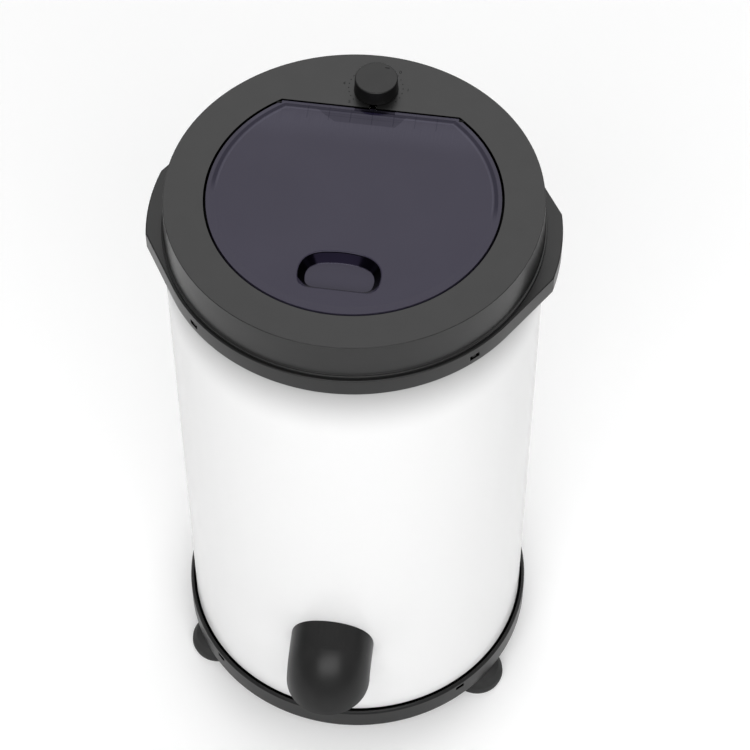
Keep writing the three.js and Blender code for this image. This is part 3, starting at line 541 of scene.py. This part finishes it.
FLANGE_R = 178.6
FLANGE_Z = (622, 642)
EAR_R = 190.5
EAR_HALF_ANGLE = 31.9  # from an ear's middle to where its sides meet the rim
EAR_WALL = 2.4
EAR_WEB = 3
FLANGE_INNER_R = 168
LIP_Z = (611.7, 615, 641)  # underside, ledge that the tub hangs on, and top
RIB_ANGLES = (75, 105, 255, 285)


def arc(radius, start, end, steps):
    """Points along an arc, angles in degrees from +X"""
    turns = [math.radians(start + (end - start) * k / steps) for k in range(steps + 1)]
    return [(radius * math.cos(turn), radius * math.sin(turn)) for turn in turns]


def ear_outline(inset):
    """Flange seen from above, drawn in on all sides by an inset"""
    rim = FLANGE_R - inset
    ear = EAR_R - inset
    tip = EAR_HALF_ANGLE - math.degrees(math.acos(rim / ear))
    return (arc(ear, -tip, tip, 20) + arc(rim, EAR_HALF_ANGLE, 180 - EAR_HALF_ANGLE, 80)
            + arc(ear, 180 - tip, 180 + tip, 20) + arc(rim, 180 + EAR_HALF_ANGLE, 360 - EAR_HALF_ANGLE, 80))


def drum_round(radius, low, high):
    """Full round about the drum's axis"""
    return turned("round", [(0, low), (radius, low), (radius, high), (0, high)])


flange = prism("flange_moulding", ear_outline(0), *FLANGE_Z)
softened(flange, 1.2, 3, 60)
cut(flange, prism("hollow", ear_outline(EAR_WALL), FLANGE_Z[0] - 1, FLANGE_Z[1] - EAR_WEB),
    drum_round(FLANGE_INNER_R, 610, 650))
lip = turned("lip", [
    (164, LIP_Z[0]), (INNER_LIP_R, LIP_Z[0], 0.6), (INNER_LIP_R, LIP_Z[2]), (171.3, LIP_Z[2]),
    (171.3, LIP_Z[1]), (164, LIP_Z[1]),
])
ribs = [brick("rib", (-1.2, 1.2), (-EAR_R + 6, -BODY_R - 1), (630, LIP_Z[2]), angle) for angle in RIB_ANGLES]
joined(flange, lip, *ribs)
cut(flange, brick("notch", (-6, 6), (161.3, 172), (600, 650)), *screw_tools(SCREW_HEIGHTS[1], 175, 166))
placed(flange, "cabinet", grey_plastic, ["carry_flange"])


# Top cover
# A deep grey cap. The lid's seat is sunk in it, and a throat goes down from there to the tub's rubber seal.

COVER_TOP = 682.5
COVER_LOW = FLANGE_Z[1] + GAP
COVER_UNDER = 679  # underside of its top
LEDGE_TOP = 672
SEAT_WALL = 3
SEAT_R = 135.9
SEAT_CHORD = 105.9
THROAT_R = 126
THROAT_CHORD = 97
# between these limits the gap round the lid is painted black as shade
SEAT_GAP_R = (132.5, 137.4)
SEAT_GAP_Y = 102  # behind it the gap runs straight
SEAT_GAP_Z = (671, 682.1)
HINGE_Y = 103.3
HINGE_Z = 680.3
PIN_HOLE_R = 1.5
PIN_SEAT_X = 93.3  # outer end of the pins' holes in the cover
KNOB_X = 1.8
KNOB_Y = 129.8
BUSH_HOLE_R = 5.4
TONGUE_HALF = 2.3
LID_MIDDLE_Y = -1.7
TONGUE_SLOT = (KNOB_X - TONGUE_HALF - 1, KNOB_X + TONGUE_HALF + 1)


def lid_outline(radius, chord, middle_y=0):
    """Circle closed by a straight rear edge"""
    rear = math.degrees(math.asin((chord - middle_y) / radius))
    return [(x, y + middle_y) for x, y in arc(radius, 180 - rear, 360 + rear, 144)]


def pin_tool(start, end):
    """Cutter along the hinge's axis"""
    return rod("pin", PIN_HOLE_R, at(start, HINGE_Y, HINGE_Z), at(end, HINGE_Y, HINGE_Z), 24)


def smaller(first, second):
    return first.maths("MINIMUM", first, second)


def larger(first, second):
    return first.maths("MAXIMUM", first, second)


def seat_gap_shade(place):
    """1 in the narrow gap round the lid, which no light gets down to"""
    x, y, z = axes(place)
    radius = length(x, y - LID_MIDDLE_Y)
    across = larger(radius > SEAT_GAP_R[0], y > SEAT_GAP_Y) * (radius < SEAT_GAP_R[1])
    return across * (z > SEAT_GAP_Z[0]) * (z < SEAT_GAP_Z[1])


def cover_color(place):
    """A darker grey than the other mouldings, painted black as shade in the gap round the lid"""
    return seat_gap_shade(place).blend(mottled(grey(17), grey(20), 40)(place), grey(4))


cover_plastic = surface("cover_plastic", cover_color, drifting(0.3, 0.36, 60), grain, seat_gap_shade,
                        strength=0.08, Specular_IOR_Level=0.43)

cover = turned("cover_moulding", [
    (0, COVER_TOP), (172.5, COVER_TOP, 0.7), (174, 647, 0.3), (174.3, 645.9, 0.4), (176, 645.4, 0.6),
    (176, COVER_LOW), (171, COVER_LOW), (169.5, COVER_UNDER, 2), (0, COVER_UNDER),
])
seat_z = (LEDGE_TOP - 3, 680)
seat = prism("seat", lid_outline(SEAT_R + SEAT_WALL, SEAT_CHORD + SEAT_WALL, LID_MIDDLE_Y), *seat_z)
throat = prism("throat", lid_outline(THROAT_R + SEAT_WALL, THROAT_CHORD + SEAT_WALL), 625, 671)
pin_bosses = [brick("boss", x, (100.3, 109), seat_z) for x in ((-98, -78), (78, 98))]
joined(cover, seat, throat, *pin_bosses)
cut(cover, prism("seat", lid_outline(SEAT_R, SEAT_CHORD, LID_MIDDLE_Y), LEDGE_TOP, 690),
    prism("throat", lid_outline(THROAT_R, THROAT_CHORD), 620, 690), pin_tool(-PIN_SEAT_X, PIN_SEAT_X),
    brick("slot", TONGUE_SLOT, (100.4, 111.5), (660, 690)),
    rod("hole", BUSH_HOLE_R, at(KNOB_X, KNOB_Y, 670), at(KNOB_X, KNOB_Y, 690), 48))
softened(cover, 0.35, 2)
placed(cover, "cabinet", cover_plastic, ["top_cover"])


# Lid
# A D of smoky plastic with a lower panel inside its rim and a moulded finger recess at the front.
# Its rear edge is rolled round two pins, and the tongue behind works the brake.

LID_TOP = COVER_TOP - 0.3
LID_R = 133.5
LID_CORNER = (82.6, 100.6)
LID_PLATE = 3
LID_FACE = (680.6, 690)  # heights that take in the lid's upper face alone
SKIRT_WALL = 2.6
RIM_WIDTH = 7.6
DISH_STEP = (1.8, 1.0)  # width and depth of the slope inside the rim
BEAD_R = 2
TONGUE_TIP_Y = 110.6
TONGUE_Z = (678.6, 681.6)
BRACKET_Z = (676.4, 679.6)
RIB_PLACES = (-37, -17, 3, 23, 43)
PIN_BORE_X = (77, 95)
RECESS_DEPTH = 10
RECESS_DRAFT = (0.84, 0.68)
WALLS_Z = (672.6, 680.4)  # heights between which the recess's walls are painted black as shade
REAR_CORNER = (8.2, -92, 27.3)  # X, Y and radius of the round corners of those walls
FRONT_CORNER = (22.5, -96, 13)
DARK_PLATE = ((-14.7, 23), (100.4, 104.6))  # X and Y
# from this Y back the tongue is painted black as shade in its slot
TONGUE_DARK = (104.9, 105.4)


def lid_edge(inset):
    """Lid seen from above, its rear corners cut short so that they clear the seat as it turns"""
    radius, x, y = LID_R - inset, LID_CORNER[0] - inset, LID_CORNER[1] - inset
    start = math.degrees(math.asin((y - LID_MIDDLE_Y) / radius))
    rim = [(rim_x, rim_y + LID_MIDDLE_Y) for rim_x, rim_y in arc(radius, 180 - start, 360 + start, 160)]
    return [(-x, HINGE_Y - inset), (-x, y)] + rim + [(x, y), (x, HINGE_Y - inset)]


RECESS = [(-34.5, -108, 12), (34.5, -108, 12), (40.3, -69.8, 27), (0, -65, 80), (-40.3, -69.8, 27)]
RECESS_HALF = Vector((38, 21))
RECESS_MIDDLE = Vector((0, -86.5))
RECESS_LIP = 1.7


def pocket(low, high, grow, lip=0.0):
    """Outline pulled down: a rolled lip first, then walls that draw in towards the floor"""

    def scaled(to, before):
        ratio = [(half + to) / (half + before) for half in RECESS_HALF]
        bpy.ops.transform.resize(value=(*ratio, 1), center_override=at(*RECESS_MIDDLE, low))

    points = eased(RECESS, 16)
    drawn("pocket", [at(*point, high) for point in points])
    bpy.ops.mesh.edge_face_add()
    out = grow + lip
    scaled(out, 0)
    depth = 0
    for turn in [math.radians(step * 15) for step in range(1, 7)] if lip else []:
        down, now = lip * (1 - math.cos(turn)), grow + lip * (1 - math.sin(turn))
        bpy.ops.mesh.extrude_region_move(TRANSFORM_OT_translate={"value": (0, 0, (depth - down) / 1000)})
        scaled(now, out)
        depth, out = down, now
    bpy.ops.mesh.extrude_region_move(TRANSFORM_OT_translate={"value": (0, 0, (low - high + depth) / 1000)})
    bpy.ops.transform.resize(value=(*RECESS_DRAFT, 1), center_override=at(*RECESS_MIDDLE, low))
    return cleaned()


def lid_shade_and_plate(place):
    """1 where the lid is painted black: painted shade on the recess's walls and on the tongue, and the dark
    plate behind the recess
    """
    x, y, z = axes(place)
    drawn_in = (681 - z) * 0.55
    aside = abs(x) - (y + 108) * 0.15 + drawn_in
    ahead = larger(y - REAR_CORNER[1] + drawn_in, 0.0)
    behind = larger(FRONT_CORNER[1] - y + drawn_in, 0.0)
    rear_corner = length(larger(aside - REAR_CORNER[0], 0.0), ahead) < REAR_CORNER[2]
    front_corner = length(larger(aside - FRONT_CORNER[0], 0.0), behind) < FRONT_CORNER[2]
    recess = within(z, *WALLS_Z, 0.4) * rear_corner * front_corner
    plate = within(x, *DARK_PLATE[0], 0.3) * within(y, *DARK_PLATE[1], 0.3) * within(z, *LID_FACE, 0.2)
    return smaller(recess + plate * 0.75 + rising(y, *TONGUE_DARK), 1.0)


def lid_color(place):
    """Smoky plastic that shows the hinge's stiffener through it, with a band of painted shade inside the rim,
    painted highlights on the dish step and the recess's front lip, paler streaks towards the rear, and
    painted black on the recess's walls, the dark plate and the tongue
    """
    x, y, z = axes(place)
    inward = smaller(LID_R - length(x, y - LID_MIDDLE_Y), HINGE_Y + 1.5 - y)
    top = within(z, *LID_FACE, 0.2)
    fade = rising(y, -16, 6)
    # painted shade: a dark band inside the rim at the rear and sides, fading towards the front
    seat = within(inward, 3.4, 6.9) * fade
    # painted highlight: a pale line where the dish step catches the light
    edge = within(inward, 7.7, 9, 0.4) * fade
    sides = (x > (100 - y) * 1.43 - 51) * (x < 35 - (100 - y) * 0.7)
    stiffener = within(y, 86, 98.5) * sides
    ribs = within(x.maths("PINGPONG", x - 3, 10), -2, 0.45, 0.2) * within(y, 87, 102) * within(x, -60, 65)
    shelf = within(y, 92.5, 93.3, 0.3) * sides
    shade = (seat * 0.85 + stiffener * 0.4 + ribs * 0.35 + shelf * 0.2) * top
    streaks = noise(x.node("CombineXYZ", inputs={0: x * 0.7, 1: y * 0.04}), 1, 2)
    haze = within(y, 70, 99, 14) * (streaks * 0.5 + 0.15)
    # painted highlight on the rolled lip at the recess's front
    front_lip_highlight = within(y, -110, -104.5) * within(z, 679.2, 681.05, 0.06) * (abs(x) < 33)
    pale = edge * 0.65 + haze + front_lip_highlight
    body = pale.blend(mottled(tint(52, 49, 63), tint(55, 52, 66), 12)(place), tint(68, 66, 80))
    return lid_shade_and_plate(place).blend(shade.blend(body, tint(12, 6, 32)), tint(12, 10, 18))


smoky_plastic = surface("lid_plastic", lid_color, drifting(0.14, 0.2, 20),
                        lambda place: noise(place, 60, 2), lid_shade_and_plate, strength=0.04,
                        Specular_IOR_Level=0.15)

drawn("lid_moulding", [at(x, y, LID_TOP - LID_PLATE) for x, y in lid_edge(0)])
bpy.ops.mesh.edge_face_add()
bpy.ops.mesh.extrude_region_move(TRANSFORM_OT_translate={"value": (0, 0, LID_PLATE / 1000)})
bpy.ops.mesh.inset(thickness=RIM_WIDTH / 1000)
bpy.ops.mesh.inset(thickness=DISH_STEP[0] / 1000, depth=-DISH_STEP[1] / 1000)
lid = cleaned()
skirt = prism("skirt", lid_edge(0), LEDGE_TOP + 0.5, LID_TOP - 1)
cut(skirt, prism("inside", lid_outline(LID_R - SKIRT_WALL, 97, LID_MIDDLE_Y), 660, LID_TOP - LID_PLATE),
    brick("behind", (-140, 140), (98.6, 120), (660, HINGE_Z - 1)))
bead = rod("bead", BEAD_R, at(-LID_CORNER[0], HINGE_Y, HINGE_Z), at(LID_CORNER[0], HINGE_Y, HINGE_Z), 32)
tongue = brick("tongue", (TONGUE_SLOT[0] + 1, TONGUE_SLOT[1] - 1), (HINGE_Y, TONGUE_TIP_Y), TONGUE_Z)
bracket = prism("bracket", eased([(-50, 99.5), (-37, 86, 3), (37, 86, 3), (50, 99.5)]), *BRACKET_Z)
ribs = [brick("rib", (x - 1, x + 1), (82, 100), (674.6, BRACKET_Z[1])) for x in RIB_PLACES]
cup = pocket(LID_TOP - RECESS_DEPTH - 2, LID_TOP - 2, 2)
joined(lid, skirt, bead, tongue, bracket, *ribs, cup)
hollow = pocket(LID_TOP - RECESS_DEPTH, LID_TOP - DISH_STEP[1] + 0.02, 0, RECESS_LIP)
cut(lid, hollow, pin_tool(-PIN_BORE_X[1], -PIN_BORE_X[0]), pin_tool(*PIN_BORE_X))
softened(lid, 0.4, 3)
placed(lid, "lid", smoky_plastic, ["lid_panel"])


# Timer knob
# A black moulded cap pressed on the timer's spindle, with a short pointer cut in its top.

KNOB_R = 20.8
KNOB_BASE = COVER_TOP + 0.7
KNOB_TOP = KNOB_BASE + 15
KNOB_HOLLOW = (11, KNOB_BASE + 3.6)  # radius and top of the room for the timer's nut
POINTER = ((8.2, 12.4), (142.6, 143.6))  # X and Y
SPINDLE_HOLE_R = 2.9


def knob_color(place):
    """Darker sides under a lighter top, split by height"""
    height = axes(place)[2]
    return within(height, KNOB_TOP - 0.5, 720, 0.3).blend(grey(16), grey(23))


black_plastic = surface("black_plastic", mottled(grey(30), grey(35), 50), drifting(0.3, 0.42, 70), grain,
                        strength=0.1)

knob = turned("knob_cap", [
    (0, KNOB_HOLLOW[1]), KNOB_HOLLOW, (KNOB_HOLLOW[0], KNOB_BASE), (KNOB_R, KNOB_BASE, 0.5),
    (KNOB_R - 0.4, KNOB_BASE + 2.5, 1), (KNOB_R - 0.9, KNOB_TOP, 1.4), (0, KNOB_TOP),
], 96, (KNOB_X, KNOB_Y))
knob_plastic = surface("knob_plastic", knob_color, drifting(0.34, 0.42, 60), grain,
                       strength=0.08, Specular_IOR_Level=0.33)
cut(knob, brick("pointer", *POINTER, (KNOB_TOP - 0.5, KNOB_TOP + 1)),
    rod("socket", SPINDLE_HOLE_R, at(KNOB_X, KNOB_Y, KNOB_BASE - 1), at(KNOB_X, KNOB_Y, COVER_TOP + 13.3)))
placed(knob, "knob", knob_plastic, ["control_knob"])


# Dial marks
# Small printed dots and plain minutes on the cover round the knob, darker than the cover itself.

DIAL_MIDDLE = (1.2, 131.5)
DOT_R = 0.6
DOT_RING_R = 25.3
DOT_TURNS = [-62 - 11.7 * k for k in range(7)] + [46 + 13.2 * k for k in range(7)]
NUMERALS = (("0", 42), ("1", 88), ("4", -87), ("5", -133))
NUMERAL_RING_R = 30
NUMERAL_SIZE = 5.2
PRINT_HEIGHT = 0.02

dial_ink = surface("dial_marks", mottled(grey(10), grey(16), 200), drifting(0.5, 0.6, 90), grain,
                   strength=0.1, Specular_IOR_Level=0.12)


def dial_place(turn, radius):
    """Point on the dial at an angle from the rear, positive towards the right"""
    turn = math.radians(turn)
    return DIAL_MIDDLE[0] + radius * math.sin(turn), DIAL_MIDDLE[1] + radius * math.cos(turn)


dots = []
for turn in DOT_TURNS:
    x, y = dial_place(turn, DOT_RING_R)
    dots.append(rod("dot", DOT_R, at(x, y, COVER_TOP - PRINT_HEIGHT), at(x, y, COVER_TOP + 0.03), 16))
for mark, turn in NUMERALS:
    x, y = dial_place(turn, NUMERAL_RING_R)
    bpy.ops.object.select_all(action="DESELECT")
    bpy.ops.object.text_add(location=at(x, y, COVER_TOP + 0.005))
    numeral = bpy.context.object
    numeral.data.body = mark
    numeral.data.size = NUMERAL_SIZE / 1000
    numeral.data.extrude = PRINT_HEIGHT / 1000
    numeral.data.align_x = numeral.data.align_y = "CENTER"
    bpy.ops.object.convert(target="MESH")
    bpy.ops.object.transform_apply(location=True, rotation=True, scale=True)
    dots.append(bpy.context.object)
for dot in dots:
    dot.select_set(True)
bpy.ops.object.join()
marks = bpy.context.object
marks.name = marks.data.name = "dial_marks"
placed(marks, "cabinet", dial_ink, weighted=False)


# Drain spout
# A glossy grey elbow clipped on the casing.
# Water leaves the tub by a stub behind its collar and pours down out of it.

SPOUT_R = 42
SPOUT_WALL = 3
SPOUT_REACH = 246.8
SPOUT_BEND_R = 29
SPOUT_MOUTH_Z = 163.5
COLLAR_R = 34
COLLAR_WALL = 2.5

down_cos, down_sin = math.cos(SPOUT_DOWN), math.sin(SPOUT_DOWN)
SPOUT_RUN = (SPOUT_REACH - BODY_R - SPOUT_BEND_R * (1 - down_sin) - SPOUT_R) / down_cos
BEND_AT = (-BODY_R - SPOUT_RUN * down_cos + SPOUT_BEND_R * down_sin,
           SPOUT_Z - SPOUT_RUN * down_sin - SPOUT_BEND_R * down_cos)


def elbow(radius, back):
    """Straight run, bend and drop of one bore, joined into a solid"""
    run = rod("elbow", radius, along_spout(-back), along_spout(SPOUT_RUN), 128)
    drop_y = BEND_AT[0] - SPOUT_BEND_R
    drop = rod("drop", radius, at(0, drop_y, BEND_AT[1]), at(0, drop_y, 100), 128)
    reach = math.sqrt(radius ** 2 - SPOUT_BEND_R ** 2)
    start = math.atan2(-reach, -SPOUT_BEND_R)
    turns = [start + k / 40 * 2 * math.atan2(reach, -SPOUT_BEND_R) for k in range(41)]
    outer = [(SPOUT_BEND_R + radius * math.cos(t), radius * math.sin(t)) for t in turns]
    half = [at(side, BEND_AT[0], BEND_AT[1] + out) for out, side in outer]
    drawn("bend", half)
    bpy.ops.mesh.spin(steps=128, angle=2 * math.pi, center=at(0, *BEND_AT), axis=(1, 0, 0))
    bend = cleaned()
    turns = [math.pi / 2 + SPOUT_DOWN + k / 6 * (math.pi / 2 - SPOUT_DOWN) for k in range(7)]
    sector = [(0, 0)] + [(math.cos(t) * 150, math.sin(t) * 150) for t in turns]
    drawn("sector", [at(-90, BEND_AT[0] + y, BEND_AT[1] + z) for y, z in sector])
    bpy.ops.mesh.edge_face_add()
    bpy.ops.mesh.extrude_region_move(TRANSFORM_OT_translate={"value": (0.18, 0, 0)})
    worked(bend, "BOOLEAN", [cleaned()], operation="INTERSECT", solver="MANIFOLD")
    return joined(run, bend, drop)


spout_plastic = surface("spout_plastic", mottled(grey(30), grey(33), 30), drifting(0.32, 0.37, 40), grain,
                        strength=0.05, Specular_IOR_Level=0.235)

spout = cut(elbow(SPOUT_R, 40), drum_round(BODY_R + GAP, 0, 400))
collar = cut(rod("collar", COLLAR_R, along_spout(-30), along_spout(12)), drum_round(166, 100, 300))
bore = cut(elbow(SPOUT_R - SPOUT_WALL, 40), drum_round(BODY_R + 3.2, 100, 300))
joined(spout, collar)
cut(spout, bore, rod("bore", COLLAR_R - COLLAR_WALL, along_spout(-40), along_spout(30)),
    brick("below", (-100, 100), (-300, 0), (0, SPOUT_MOUTH_Z)))
softened(spout, 0.5, 2, 50)
placed(spout, "cabinet", spout_plastic, ["drain_spout"])


# Spin drum
# Stainless sheet pierced all over, spun in one with its rolled rim, on a pressed floor that rises to the hub.

DRUM_R = 141
DRUM_SHEET = 0.8
DRUM_FLOOR = 214.3
DRUM_TOP = 603
MOUTH_R = 110
HOLE_R = 2.4
HOLE_STEP = 12  # degrees between the holes of a row
HOLE_ROWS = ((246, 0), (266, 6))  # height and shift of the first two rows
ROW_PAIRS = 8
PAIR_SPACING = 40


def brushed(place):
    return noise(place, 700, 3)


bright_steel = surface("bright_steel", mottled(grey(186), grey(200), 20), drifting(0.33, 0.39, 14), brushed,
                       metallic=1.0, strength=0.04)


def sheet(corners, thickness):
    """Closed profile of a sheet: (radius, z, rounding) corners and a second face at their left"""
    inner = []
    for i, (r, z, *rounding) in enumerate(corners):
        pairs = zip(corners[max(i - 1, 0):], corners[max(i, 1):i + 2])
        ways = [Vector(there[:2]) - Vector(here[:2]) for here, there in pairs]
        sides = [Vector((-way.y, way.x)).normalized() for way in ways]
        middle = sides[0] + sides[-1]
        inner.append((*(Vector((r, z)) + middle * thickness / middle.dot(sides[0])), *rounding))
    return corners + inner[::-1]


drum = turned("drum_sheet", sheet([
    (8.1, DRUM_FLOOR), (34, DRUM_FLOOR, 8), (62, 199, 8), (126, 199, 4), (137, 206, 4), (DRUM_R, 217, 4),
    (DRUM_R, 588, 8), (116, DRUM_TOP, 3), (MOUTH_R, 602, 1.5), (MOUTH_R, 599),
], DRUM_SHEET))
row = [rod("hole", HOLE_R, around(130, turn + shift, z), around(150, turn + shift, z), 12)
       for z, shift in HOLE_ROWS for turn in range(0, 360, HOLE_STEP)]
for tool in row:
    tool.select_set(True)
bpy.ops.object.join()
punch = worked(bpy.context.object, "ARRAY", count=ROW_PAIRS, use_relative_offset=False,
               use_constant_offset=True, constant_offset_displace=(0, 0, PAIR_SPACING / 1000))
cut(drum, punch)
placed(drum, "drum", bright_steel, ["spin_drum"], weighted=False)


# Mouth seal
# A flat rubber lip under the cover's throat that meets the tub's own cover.

SEAL_Z = (621.9, 624.7)

seal = prism("seal_lip", lid_outline(THROAT_R + 4, THROAT_CHORD + 4), *SEAL_Z)
cut(seal, prism("opening", lid_outline(THROAT_R - 1, THROAT_CHORD - 1), 610, 640))
softened(seal, 0.5)
placed(seal, "cabinet", rubber, ["mouth_seal"])


# Metal and hidden parts
# Shaft, motor, suspension and brake keep the shapes they have in the solid model.

zinc_steel = surface("zinc_steel", mottled(grey(172), tint(186, 184, 170), 60), drifting(0.34, 0.5, 50),
                     brushed, metallic=0.9, strength=0.12)
cast_metal = surface("cast_metal", mottled(grey(136), grey(150), 45), drifting(0.5, 0.65, 40),
                     lambda place: noise(place, 500, 4), metallic=0.7, strength=0.3)
pale_plastic = surface("pale_plastic", mottled(tint(202, 202, 196), tint(208, 207, 200), 20),
                       drifting(0.4, 0.5, 40), grain, strength=0.1)
winding = surface("winding", mottled(tint(150, 84, 48), tint(176, 104, 62), 300), drifting(0.35, 0.5, 200),
                  lambda place: noise(place, 900, 2), metallic=0.6, strength=0.4)
dark_steel = surface("dark_steel", mottled(grey(18), grey(24), 60), drifting(0.4, 0.5, 50), brushed,
                     metallic=0.8, strength=0.12)
lining = surface("brake_lining", mottled(tint(82, 74, 66), tint(98, 88, 76), 300), 0.9,
                 lambda place: noise(place, 800, 4), strength=0.5)
finishes = {
    "white_paint": white_paint, "grey_plastic": grey_plastic, "black_plastic": black_plastic,
    "lid_plastic": smoky_plastic, "dark_rubber": rubber, "pale_plastic": pale_plastic,
    "bright_steel": bright_steel, "zinc_steel": zinc_steel, "cast_metal": cast_metal, "winding": winding,
    "brake_lining": lining,
}
for name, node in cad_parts.items():
    material = node.data.materials[0].name if node.data.materials else ""
    finish = next((finishes[slot] for slot in finishes if slot in material), None)
    if name.startswith(("base_screw", "flange_screw", "hinge_pin")):
        finish = dark_steel
    if finish:
        node.data.materials[0] = finish
    elif not node.hide_render:
        print("no finish for", name, material)
